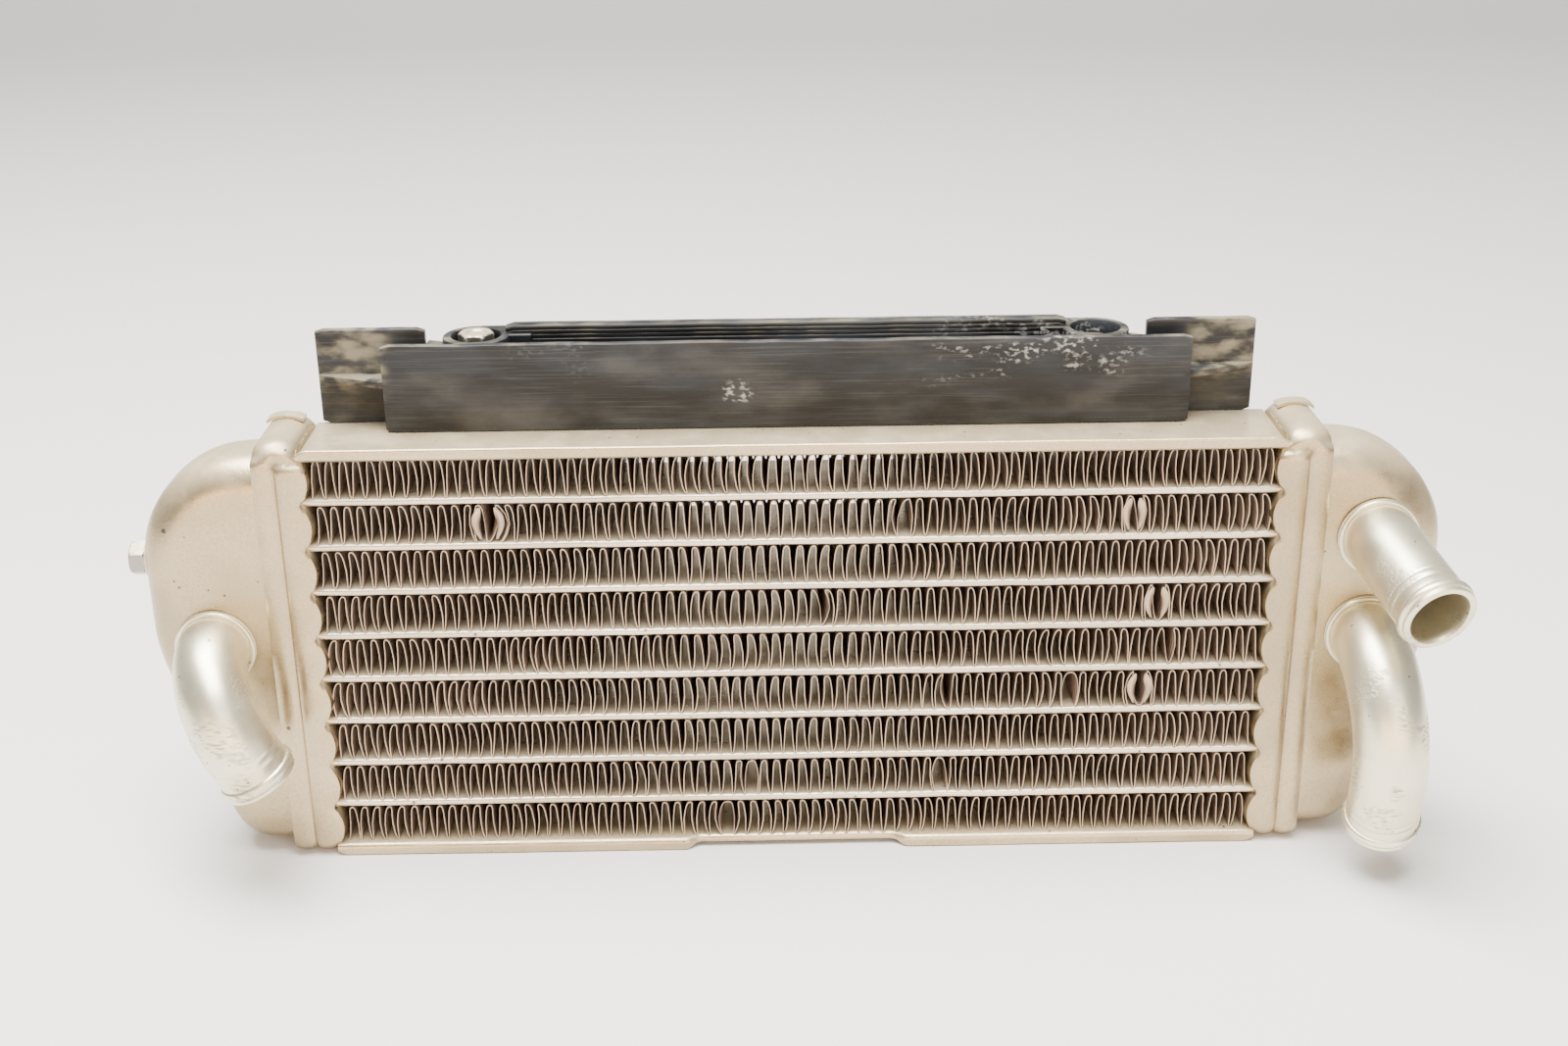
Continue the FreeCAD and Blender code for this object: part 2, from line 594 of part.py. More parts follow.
for tube in range(TUBE_COUNT):
    make_tube(tube)
make_fin_rows()
make_side_plate("bottom_side_plate", top=False)
make_side_plate("top_side_plate", top=True)
for side, sign in SIDES:
    make_header(side, sign)
left_hole = make_pipe("left_pipe", "left", -1)
upper_hole = make_pipe("right_upper_pipe", "upper", 1)
lower_hole = make_pipe("right_lower_pipe", "lower", 1)
make_tank("left", -1, [left_hole, make_bleed()])
make_tank("right", 1, [upper_hole, lower_hole])
make_carrier()
make_brackets()

doc.recompute()
for thing in doc.Objects:
    if "Invalid" in thing.State or "Error" in thing.State:
        raise RuntimeError(f"{thing.Label} failed: {thing.State}")
os.makedirs("parts", exist_ok=True)
for thing in published:
    if thing.Shape.isNull() or not thing.Shape.isValid() or not thing.Shape.Solids:
        raise RuntimeError(thing.Label + " has no valid solid")
for thing in published:
    thing.Shape.exportStep(f"parts/{thing.Label}.step")
print(len(published), "pieces written")
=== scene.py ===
import json
import math
import random

import bmesh
import bpy
from mathutils import Matrix, Vector, noise


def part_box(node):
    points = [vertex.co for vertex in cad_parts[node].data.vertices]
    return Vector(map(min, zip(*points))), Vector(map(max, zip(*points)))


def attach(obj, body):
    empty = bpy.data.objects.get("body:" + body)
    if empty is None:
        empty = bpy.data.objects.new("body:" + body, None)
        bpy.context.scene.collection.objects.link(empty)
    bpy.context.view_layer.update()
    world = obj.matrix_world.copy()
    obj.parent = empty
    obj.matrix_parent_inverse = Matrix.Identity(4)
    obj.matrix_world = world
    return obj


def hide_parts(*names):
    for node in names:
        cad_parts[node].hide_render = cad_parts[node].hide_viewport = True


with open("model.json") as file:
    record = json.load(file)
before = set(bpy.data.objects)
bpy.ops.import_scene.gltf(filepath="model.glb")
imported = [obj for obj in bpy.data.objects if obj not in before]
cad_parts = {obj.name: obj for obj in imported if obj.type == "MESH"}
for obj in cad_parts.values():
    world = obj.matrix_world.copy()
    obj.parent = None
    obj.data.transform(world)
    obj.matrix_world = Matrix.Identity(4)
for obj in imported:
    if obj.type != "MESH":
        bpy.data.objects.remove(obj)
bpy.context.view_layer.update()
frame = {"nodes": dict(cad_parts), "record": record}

# The looks of an aluminium coolant radiator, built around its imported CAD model. Every mesh is in
# metres in the frame of the CAD model: X along the tubes, Y to the back, Z up.

bl_info = {
    "name": "Coolant Radiator Looks",
    "version": (1, 0, 0),
    "blender": (4, 5, 0),
    "location": "View3D > Sidebar > Radiator",
    "description": "Builds the detailed fins, tanks, pipes and finishes of a coolant radiator",
    "category": "Object",
}

MM = 0.001
ROWS = 9
TUBES = 8
MAIN_BODY = "radiator"
FINISH_NAME = "worn_{}"
SIDES = (("left", -1), ("right", 1))
PIT_TINT = (0.07, 0.055, 0.045)
FIN_SPECK_TINT = (0.1, 0.085, 0.07)
LOUVRE_PITCH = 1.15


# ---- shader graph ---------------------------------------------------------------------------

class Value:
    """A number that comes out of a shader node, so that sums read as ordinary Python."""

    def __init__(self, finish, socket):
        self.finish = finish
        self.socket = socket

    def maths(self, operation, *others):
        sockets = dict(enumerate((self, *others)))
        return self.finish.add("ShaderNodeMath", {"operation": operation}, sockets)

    def __add__(self, other):
        return self.maths("ADD", other)

    def __sub__(self, other):
        return self.maths("SUBTRACT", other)

    def __mul__(self, other):
        return self.maths("MULTIPLY", other)

    def __lt__(self, other):
        return self.maths("LESS_THAN", other)

    __radd__ = __add__
    __rmul__ = __mul__

    def between(self, low, high):
        """0 below low, 1 above high and a smooth step in between; high may be the smaller."""
        sockets = {"Value": self, "From Min": low, "From Max": high}
        return self.finish.add("ShaderNodeMapRange", {"interpolation_type": "SMOOTHSTEP"}, sockets)


class Finish:
    """One material and the nodes that it is made of."""

    def __init__(self, name, metallic):
        self.material = bpy.data.materials.new(FINISH_NAME.format(name))
        self.material.use_nodes = True
        self.tree = self.material.node_tree
        self.tree.nodes.clear()
        self.shader = self.tree.nodes.new("ShaderNodeBsdfPrincipled")
        self.shader.inputs["Metallic"].default_value = metallic
        output = self.tree.nodes.new("ShaderNodeOutputMaterial")
        self.tree.links.new(self.shader.outputs[0], output.inputs["Surface"])
        self.place = self.add("ShaderNodeTexCoord", output="Object")

    def add(self, kind, settings=None, sockets=None, output=0):
        """A node of a kind, with its settings made first and then its sockets; gives an output."""
        node = self.tree.nodes.new(kind)
        for key, setting in (settings or {}).items():
            setattr(node, key, setting)
        for key, entry in (sockets or {}).items():
            if isinstance(entry, Value):
                self.tree.links.new(entry.socket, node.inputs[key])
            else:
                node.inputs[key].default_value = entry
        return Value(self, node.outputs[output])

    def noise(self, scale, detail=2.0, stretch=None):
        """Smooth noise from 0 to 1, with scale in cycles per metre."""
        where = self.place
        if stretch:
            where = self.add("ShaderNodeVectorMath", {"operation": "MULTIPLY"}, {0: where, 1: stretch})
        sockets = {"Vector": where, "Scale": scale, "Detail": detail}
        return self.add("ShaderNodeTexNoise", None, sockets)

    def specks(self, scale, size, share):
        """Small round spots: 1 inside a spot; share is how many of the cells hold one."""
        sockets = {"Vector": self.place, "Scale": scale}
        near = self.add("ShaderNodeTexVoronoi", None, sockets, output="Distance")
        colour = self.add("ShaderNodeTexVoronoi", None, sockets, output="Color")
        chance = self.add("ShaderNodeSeparateColor", None, {0: colour}, output=0)
        width = self.add("ShaderNodeSeparateColor", None, {0: colour}, output=1)
        return (near < size * (width * 0.8 + 0.2)) * (chance < share)

    def mix(self, share, first, second):
        """A colour between two colours; a plain colour is a tuple of three."""
        sockets = {0: share}
        for spot, colour in ((6, first), (7, second)):
            sockets[spot] = colour if isinstance(colour, Value) else (*colour, 1.0)
        return self.add("ShaderNodeMix", {"data_type": "RGBA"}, sockets, output=2)

    def facing(self, axis):
        """How far the surface faces along X, Y or Z, from -1 to 1."""
        normal = self.add("ShaderNodeNewGeometry", output="Normal")
        return self.add("ShaderNodeSeparateXYZ", None, {0: normal}, output=axis)

    def coordinate(self, axis):
        return self.add("ShaderNodeSeparateXYZ", None, {0: self.place}, output=axis)

    def bump(self, height, depth_mm):
        sockets = {"Height": height, "Distance": depth_mm * MM}
        self.wear("Normal", self.add("ShaderNodeBump", None, sockets))

    def wear(self, socket, source):
        """Lead a value to a socket of the shader."""
        self.tree.links.new(source.socket, self.shader.inputs[socket])


def scaled(colour, factor):
    return tuple(min(channel * factor, 1.0) for channel in colour)


def satin_metal(name, tint, dust, roughness, metallic, pits, dirt):
    """Blasted or pressed aluminium: soft tone changes, dark pits, dust, a painted highlight on upward
    faces and a fine grain.
    """
    finish = Finish(name, metallic)
    broad = finish.noise(22, 3)
    cloud = finish.noise(140, 3)
    fine = finish.noise(2600, 2)
    coarse = finish.noise(900, 2)
    colour = finish.mix(broad.between(0.35, 0.65), scaled(tint, 0.8), scaled(tint, 1.1))
    colour = finish.mix(fine.between(0.42, 0.68) * 0.38, colour, scaled(tint, 0.5))
    lying = finish.facing(2).between(0.2, 0.95)
    dusty = cloud.between(0.45, 0.68) * dirt + lying * cloud.between(0.35, 0.65) * (dirt * 0.45)
    colour = finish.mix(dusty.between(0.0, 1.0), colour, dust)
    # Painted highlight with dust: every upward face goes half way to a paler copy of the dust colour,
    # as if lit from overhead.
    colour = finish.mix(lying * 0.5, colour, scaled(dust, 1.45))
    finish.wear("Metallic", lying * -0.5 + metallic)
    holes = finish.specks(260, 0.12, pits)
    stains = finish.specks(90, 0.07, pits)
    marks = (holes + stains).between(0.0, 1.0)
    colour = finish.mix(marks * 0.8, colour, PIT_TINT)
    finish.wear("Base Color", colour)
    finish.wear("Roughness", cloud * 0.3 + dusty * 0.25 + (roughness - 0.15))
    finish.bump(fine * 0.5 + coarse * 0.6 + broad * 0.3 - marks, 0.06)


def scuffed_metal(name, tint, dust, scuff):
    """Bright pipe metal with drag marks that run round the pipe and dark rub marks."""
    finish = Finish(name, 0.93)
    broad = finish.noise(35, 3)
    fine = finish.noise(2200, 2)
    patch = finish.noise(95, 5)
    drag = finish.noise(1300, 4, stretch=(0.3, 0.8, 1.7))
    colour = finish.mix(broad.between(0.3, 0.7), scaled(tint, 0.88), scaled(tint, 1.05))
    forward, level = finish.coordinate(1), finish.coordinate(2)
    mouth = forward.between(-27 * MM, -35 * MM) + level.between(46 * MM, 32 * MM)
    marks = patch.between(0.5, 0.62) * drag.between(0.46, 0.6)
    marks = marks * (mouth.between(0.0, 1.0) * 0.7 + 0.3)
    colour = finish.mix(marks * 0.5, colour, scuff)
    colour = finish.mix(finish.noise(60, 4).between(0.48, 0.7) * 0.4, colour, dust)
    holes = finish.specks(300, 0.13, 0.35)
    colour = finish.mix(holes * 0.7, colour, scuff)
    finish.wear("Base Color", colour)
    finish.wear("Roughness", broad * 0.25 + marks * 0.25 + 0.24)
    finish.bump(fine * 0.4 + drag * 0.5 - marks - holes, 0.035)


def fin_metal(name, edge, deep, front_y, back_y):
    """Fin sheet: its own colour along its two open edges; further in, louvred and darkened with
    painted shade where the folds shade each other, with some dust.
    """
    finish = Finish(name, 0.45)
    depth = finish.coordinate(1)
    # Painted shade: a mask that is 0 at the open edges and 1 from half a millimetre inside the row,
    # where the folds shade each other.
    from_front = depth.between(front_y + 0.05 * MM, front_y + 0.6 * MM)
    from_back = depth.between(back_y - 0.05 * MM, back_y - 0.6 * MM)
    inside = from_front * from_back
    cloud = finish.noise(160, 3)
    edge_tone = finish.mix(cloud.between(0.3, 0.7), scaled(edge, 0.8), scaled(edge, 1.08))
    # dusty here is painted shade between the folds, with some dust: the darker colour that the mask
    # gives to the inside of the row.
    dusty = finish.mix(cloud.between(0.35, 0.7), scaled(deep, 0.75), scaled(deep, 1.25))
    colour = finish.mix(inside, edge_tone, dusty)
    colour = finish.mix(finish.specks(420, 0.16, 0.25) * 0.5, colour, FIN_SPECK_TINT)
    finish.wear("Base Color", colour)
    finish.wear("Roughness", cloud * 0.2 + 0.38)
    louvre = (depth * (2 * math.pi / (LOUVRE_PITCH * MM))).maths("SINE")
    finish.bump(louvre * inside + finish.noise(2400) * 0.15, 0.09)


def worn_plastic(name, tint, pale, dust):
    """Black moulding that has gone grey: long rubs, pale scuffs and dust in its corners."""
    finish = Finish(name, 0.0)
    broad = finish.noise(28, 4)
    rub = finish.noise(130, 6, stretch=(0.35, 1.0, 1.5))
    scratch = finish.noise(1100, 5, stretch=(0.045, 1.0, 2.4))
    fine = finish.noise(2400, 2)
    colour = finish.mix(rub.between(0.38, 0.66), scaled(tint, 0.55), scaled(tint, 2.1))
    streaks = scratch.between(0.5, 0.66) * broad.between(0.3, 0.6)
    colour = finish.mix(streaks * 0.1, colour, scaled(pale, 0.5))
    haze = finish.noise(48, 6, stretch=(0.6, 1.0, 1.2)).between(0.46, 0.7)
    colour = finish.mix(haze * 0.16, colour, scaled(pale, 0.6))
    across, level = finish.coordinate(0), finish.coordinate(2)
    patches = finish.noise(900, 8, stretch=(0.7, 1.0, 1.1)).between(0.5, 0.66)
    patches = patches * finish.noise(140, 4, stretch=(0.6, 1.0, 1.3)).between(0.46, 0.6)
    rubbed = across.between(34 * MM, 52 * MM) * across.between(92 * MM, 78 * MM)
    rubbed = rubbed * level.between(121 * MM, 127 * MM)
    chip = across.between(-18 * MM, -15 * MM) * across.between(-8 * MM, -12 * MM)
    chip = chip * level.between(116 * MM, 119 * MM) * level.between(125 * MM, 121 * MM)
    where = finish.noise(16, 2, stretch=(1.0, 0.5, 0.6)).between(0.55, 0.65) * 0.6
    colour = finish.mix(patches * (rubbed + chip + where).between(0.0, 1.0) * 0.8, colour, pale)
    outer = across.maths("ABSOLUTE").between(97 * MM, 103 * MM)
    lying = finish.facing(2).between(0.3, 0.9)
    smear = finish.noise(260, 7, stretch=(0.55, 1.0, 1.2)).between(0.28, 0.74)
    outer = outer * (level.between(118 * MM, 123 * MM) * 0.7 + 0.3)
    dusty = (outer + lying * 0.7) * (broad.between(0.3, 0.6) * 0.5 + 0.5) * smear
    colour = finish.mix(dusty.between(0.0, 1.0) * 0.85, colour, dust)
    finish.wear("Base Color", colour)
    finish.wear("Roughness", rub * 0.35 + dusty * 0.3 + 0.3)
    finish.bump(rub * 0.5 + scratch * 0.35 + fine * 0.25, 0.06)
    finish.shader.inputs["Specular IOR Level"].default_value = 0.3


def plain_stage(name, tint):
    finish = Finish(name, 0.0)
    cloud = finish.noise(3, 2)
    finish.wear("Base Color", finish.mix(cloud, scaled(tint, 0.985), tint))
    finish.shader.inputs["Roughness"].default_value = 0.75
    return finish.material


# ---- mesh helpers ---------------------------------------------------------------------------

def new_piece(name, points, faces, material, sharp=35):
    """A smooth-shaded mesh object with points given in millimetres."""
    mesh = bpy.data.meshes.new(name)
    mesh.from_pydata([tuple(c * MM for c in point) for point in points], [], faces)
    mesh.validate()
    if material:
        mesh.materials.append(material)
    piece = bpy.data.objects.new(name, mesh)
    shade(piece, sharp)
    bpy.context.scene.collection.objects.link(piece)
    return piece


def close_up(piece, distance=0.001, flat=True):
    """Merge points that coincide, drop flat faces and turn every face outwards."""
    mesh = bmesh.new()
    mesh.from_mesh(piece.data)
    bmesh.ops.remove_doubles(mesh, verts=mesh.verts, dist=distance * MM)
    if flat:
        bmesh.ops.dissolve_degenerate(mesh, edges=mesh.edges, dist=distance * MM)
    bmesh.ops.recalc_face_normals(mesh, faces=mesh.faces)
    mesh.to_mesh(piece.data)
    mesh.free()
    return piece


def shade(piece, sharp):
    """Smooth shading, with the edges that are sharper than an angle in degrees kept hard."""
    mesh = piece.data
    mesh.polygons.foreach_set("use_smooth", [True] * len(mesh.polygons))
    mesh.set_sharp_from_angle(angle=math.radians(sharp))


def hand_over(piece, nodes, slot, body=MAIN_BODY):
    """Tie a finished piece to its body and hide the CAD nodes it stands for; slot is not used."""
    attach(piece, body)
    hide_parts(*nodes)


def make(name, shape, nodes, slot, sharp=35, body=MAIN_BODY, merge=True):
    """A whole piece from its points and faces, handed over to its CAD nodes."""
    piece = new_piece(name, *shape, finish_of(slot), sharp)
    if merge:
        close_up(piece)
    hand_over(piece, nodes, slot, body)


def strip_faces(rows, columns, around=False, start=0):
    """Quads between the rows of a grid of points; around joins each row's end to its start."""
    faces = []
    last = columns if around else columns - 1
    for row in range(rows - 1):
        for column in range(last):
            after = (column + 1) % columns
            low, high = start + row * columns, start + (row + 1) * columns
            faces.append((low + column, low + after, high + after, high + column))
    return faces


def tube_mesh(rings):
    """Points and faces of a closed skin through rings of equal size, with flat ends."""
    count = len(rings[0])
    points = [point for ring in rings for point in ring]
    faces = strip_faces(len(rings), count, around=True)
    faces.append(tuple(reversed(range(count))))
    faces.append(tuple(range(len(points) - count, len(points))))
    return points, faces


def looped_mesh(rings):
    """Points and faces of a skin whose last ring joins its first, as on a hollow ring."""
    points, faces = tube_mesh(rings)
    faces = faces[:-2]
    count = len(rings[0])
    last = len(points) - count
    for spot in range(count):
        after = (spot + 1) % count
        faces.append((last + spot, last + after, after, spot))
    return points, faces


def turned_over(faces):
    return [tuple(reversed(face)) for face in faces]


def arc_points(centre, radius, first, last, steps):
    """Points on an arc in a plane, from one angle to another in degrees."""
    angles = [math.radians(first + (last - first) * step / steps) for step in range(steps + 1)]
    return [(centre[0] + radius * math.cos(a), centre[1] + radius * math.sin(a)) for a in angles]


def rounded_run(corners, radii, steps=8):
    """An open polyline through corners, with an arc of each given radius at inner corners."""
    run = [corners[0]]
    for before, corner, after, radius in zip(corners, corners[1:], corners[2:], radii):
        spot = Vector(corner)
        back, on = (Vector(before) - spot).normalized(), (Vector(after) - spot).normalized()
        half = back.angle(on) / 2
        reach = radius / math.tan(half)
        centre = spot + (back + on).normalized() * (radius / math.sin(half))
        first, last = spot + back * reach - centre, spot + on * reach - centre
        turn = first.angle_signed(last)
        for step in range(steps + 1):
            arm = first.copy()
            arm.rotate(Matrix.Rotation(-turn * step / steps, 2))
            run.append(tuple(centre + arm))
    run.append(corners[-1])
    return run


def resample(run, spacing):
    """The same polyline with points at even distances."""
    lengths = [0.0]
    for first, second in zip(run, run[1:]):
        lengths.append(lengths[-1] + math.dist(first, second))
    count = max(2, round(lengths[-1] / spacing))
    even, spot = [], 0
    for step in range(count + 1):
        along = lengths[-1] * step / count
        while spot < len(run) - 2 and lengths[spot + 1] < along:
            spot += 1
        share = (along - lengths[spot]) / max(lengths[spot + 1] - lengths[spot], 1e-9)
        even.append(tuple(a + (b - a) * share for a, b in zip(run[spot], run[spot + 1])))
    return even


def cut_out(piece, cutters, operation="DIFFERENCE"):
    """Subtract closed meshes from a piece, or join them to it, and throw them away."""
    bpy.context.view_layer.update()
    for cutter in cutters:
        modifier = piece.modifiers.new(cutter.name, "BOOLEAN")
        modifier.operation = operation
        modifier.solver = "EXACT"
        modifier.object = cutter
    bpy.context.view_layer.update()
    graph = bpy.context.evaluated_depsgraph_get()
    mesh = bpy.data.meshes.new_from_object(piece.evaluated_get(graph))
    piece.modifiers.clear()
    old = piece.data
    piece.data = mesh
    bpy.data.meshes.remove(old)
    mesh.name = piece.name
    for cutter in cutters:
        bpy.data.meshes.remove(cutter.data)
    return piece


def around(centre, axis, profile, steps=48, phase=0.0):
    """Rings round an axis through (distance along, radius) pairs."""
    along = Vector(axis).normalized()
    side = along.orthogonal().normalized()
    other = along.cross(side)
    rings = []
    for distance, radius in profile:
        middle = Vector(centre) + along * distance
        ring = []
        for step in range(steps):
            angle = 2 * math.pi * step / steps + phase
            ring.append(tuple(middle + (side * math.cos(angle) + other * math.sin(angle)) * radius))
        rings.append(ring)
    return rings


def node_box(node):
    """Lowest and highest corner of a CAD node in millimetres."""
    low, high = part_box(node)
    return low / MM, high / MM


def smooth(value):
    value = min(max(value, 0.0), 1.0)
    return value * value * (3 - 2 * value)


def ripple(x, y, z, size):
    """Smooth noise about zero, with size the width of a wave in millimetres."""
    return noise.noise(Vector((x / size, y / size, z / size)))


# ---- sizes and colours ----------------------------------------------------------------------

def length(name, millimetres, description):
    return bpy.props.FloatProperty(name=name, description=description, default=millimetres * MM,
                                   precision=5, subtype="DISTANCE", unit="LENGTH")


def tint(name, colour, description):
    return bpy.props.FloatVectorProperty(name=name, description=description, default=colour,
                                         size=3, min=0.0, max=1.0, subtype="COLOR")


class RadiatorSizes(bpy.types.PropertyGroup):
    """Lengths of the details that the CAD model leaves out, and those it shares."""

    fin_sheet: length("Fin sheet", 0.2, "Thickness of the folded fin strip at its open edge")
    fin_wave: length("Fin wave", 3.27, "Length of one fold of the fin along the tube")
    fin_reach: length("Fin reach", 117.3, "Distance of the last fold from the middle")
    fin_height: length("Fin height", 9.86, "Height of a fin row between two tubes")
    row_pitch: length("Row pitch", 12.0, "Height of one tube and one fin row together")
    first_row: length("First row", 8.4, "Height of the middle of the lowest fin row")
    fin_bend: length("Fin bend", 0.85, "How far handling has bent the legs of the fins")
    core_end: length("Core end", 120.0, "Distance of the header faces from the middle")
    sheet: length("Header sheet", 1.6, "Thickness of the header sheet")
    collar: length("Header collar", 11.0, "Width of the header along the tubes")
    header_top: length("Header top", 114.4, "Height of the ridges of the headers")
    header_half: length("Header half depth", 14.5, "Half of the depth of a header")
    header_corner: length("Header corner", 6.0, "Corner radius of a header seen along the tubes")
    scallop: length("Scallop", 2.7, "How far a header bulges towards the middle of a fin row")
    tank_wall: length("Tank wall", 2.0, "Wall thickness of the tanks")
    tank_round: length("Tank rounding", 9.0, "Radius between a tank's face and its outer side")
    tank_dome: length("Tank dome", 0.5, "How far a tank's face swells")
    pipe_radius: length("Pipe radius", 9.0, "Outside radius of the hose pipes")
    bore_radius: length("Bore radius", 7.5, "Inside radius of the hose pipes")
    bead: length("Bead", 0.8, "Rise of the hose bead")
    plate: length("Side plate sheet", 1.2, "Thickness of the two side plates")
    lip: length("Side plate lip", 3.4, "Height of the side plates' front lips")
    rail: length("Rail sheet", 2.2, "Thickness of the plastic carrier's front rail")
    edge: length("Moulded edge", 0.55, "Radius of the plastic carrier's edges")


class RadiatorColours(bpy.types.PropertyGroup):
    """Base colours of the finishes."""

    tank: tint("Tank", (0.47, 0.375, 0.235), "Blasted metal of the tanks")
    core: tint("Core", (0.51, 0.41, 0.265), "Sheet of the headers and side plates")
    tube: tint("Tube", (0.72, 0.63, 0.5), "Coolant tubes")
    fin: tint("Fin edge", (0.52, 0.395, 0.275), "Open edges of the fins")
    # Darker colour inside the fins: painted shade between the folds, with some dust.
    deep: tint("Fin inside", (0.24, 0.17, 0.128), "Dusty faces inside the fins")
    pipe: tint("Pipe", (0.84, 0.785, 0.6), "Hose pipes and their collars")
    screw: tint("Plated steel", (0.36, 0.34, 0.3), "Screws and nuts")
    washer: tint("Washer", (0.68, 0.56, 0.4), "Sealing washer of the bleed screw")
    plastic: tint("Plastic", (0.006, 0.0072, 0.0092), "Moulded side carrier")
    scuff: tint("Plastic scuff", (0.33, 0.32, 0.3), "Pale scuffs on the plastic")
    dust: tint("Dust", (0.5, 0.42, 0.27), "Dry dust on every finish")
    silt: tint("Silt", (0.2, 0.18, 0.125), "Dry grey mud on the plastic")
    stain: tint("Stain", (0.08, 0.065, 0.055), "Dark scratches on the pipes")
    floor: tint("Floor", (0.84, 0.83, 0.81), "Studio floor and backdrop")


def sizes(context):
    return {key: getattr(context.scene.radiator_sizes, key) / MM
            for key in RadiatorSizes.__annotations__}


def finish_of(slot):
    return bpy.data.materials[FINISH_NAME.format(slot)]


# ---- operators ------------------------------------------------------------------------------

class RADIATOR_OT_finishes(bpy.types.Operator):
    """Make the finishes and give one to every CAD node"""

    bl_idname = "radiator.finishes"
    bl_label = "Finishes"

    def execute(self, context):
        c = context.scene.radiator_colours
        tone = {key: tuple(getattr(c, key)) for key in RadiatorColours.__annotations__}
        low, high = node_box("fin_row_1")
        satin_metal("tank_aluminium", tone["tank"], tone["dust"], 0.32, 0.94, 0.5, 0.3)
        satin_metal("core_aluminium", tone["core"], tone["dust"], 0.3, 0.94, 0.4, 0.3)
        satin_metal("tube_aluminium", tone["tube"], tone["dust"], 0.3, 0.92, 0.3, 0.25)
        fin_metal("fin_aluminium", tone["fin"], tone["deep"], low.y * MM, high.y * MM)
        scuffed_metal("pipe_aluminium", tone["pipe"], tone["dust"], tone["stain"])
        satin_metal("washer_aluminium", tone["washer"], tone["dust"], 0.42, 0.7, 0.1, 0.3)
        satin_metal("plated_steel", tone["screw"], tone["dust"], 0.3, 0.9, 0.25, 0.3)
        worn_plastic("black_plastic", tone["plastic"], tone["scuff"], tone["silt"])
        for part in frame["record"]["subparts"]:
            node = frame["nodes"][part["node"]]
            node.data.materials.clear()
            node.data.materials.append(finish_of(part["material_slot"]))
        return {"FINISHED"}


class RADIATOR_OT_tubes(bpy.types.Operator):
    """Build the flat coolant tubes with their uneven rounded noses"""

    bl_idname = "radiator.tubes"
    bl_label = "Tubes"

    def execute(self, context):
        nose_steps, station = 10, 2.4
        for index in range(1, TUBES + 1):
            node = f"coolant_tube_{index}"
            low, high = node_box(node)
            middle = (low.z + high.z) / 2
            half, thick = high.y, (high.z - low.z) / 2
            section = arc_points((half - thick, 0), thick, -90, 90, nose_steps)
            section += arc_points((thick - half, 0), thick, 90, 270, nose_steps)
            rings = []
            count = round((high.x - low.x) / station)
            for step in range(count + 1):
                x = low.x + (high.x - low.x) * step / count
                dent = 0.16 * max(0.0, ripple(x, 0, middle, 7.0))
                rise = 0.14 * ripple(x, 40, middle, 9.0)
                ring = []
                for y, z in section:
                    near = smooth((half * 0.7 - abs(y)) / (-half * 0.3))
                    ring.append((x, y * (1 - dent * near / half), middle + z + rise * near))
                rings.append(ring)
            make(f"tube_{index}", tube_mesh(rings), [node], "tube_aluminium", merge=False)
        return {"FINISHED"}


FOLD = ((0.0, -1.0), (0.055, -0.97), (0.095, -0.86), (0.135, -0.6), (0.185, -0.05), (0.235, 0.5),
        (0.265, 0.76), (0.325, 0.92), (0.41, 0.985), (0.5, 1.0), (0.59, 0.985), (0.675, 0.92),
        (0.735, 0.76), (0.765, 0.5), (0.815, -0.05), (0.865, -0.6), (0.905, -0.86),
        (0.945, -0.97))
# Row counted from the bottom, place along the row, half width, push: fins that were hit.
HITS = ((8, -75, 6.5, 2.3), (8, 27, 3.6, 1.5), (8, 84, 3.8, 1.7), (6, 91, 4.2, 2.0),
        (6, 6, 3.2, 1.2), (5, 94, 3.4, 1.4), (4, 39, 3.2, 1.3), (4, 70, 3.6, 1.4),
        (4, 88, 4.4, 1.8), (2, -12, 3.4, 1.3), (2, 38, 3.6, 1.4), (1, -18, 3.4, 1.3))
# A push in millimetres above which the sheet is torn as well as bent.
TORN = 1.6


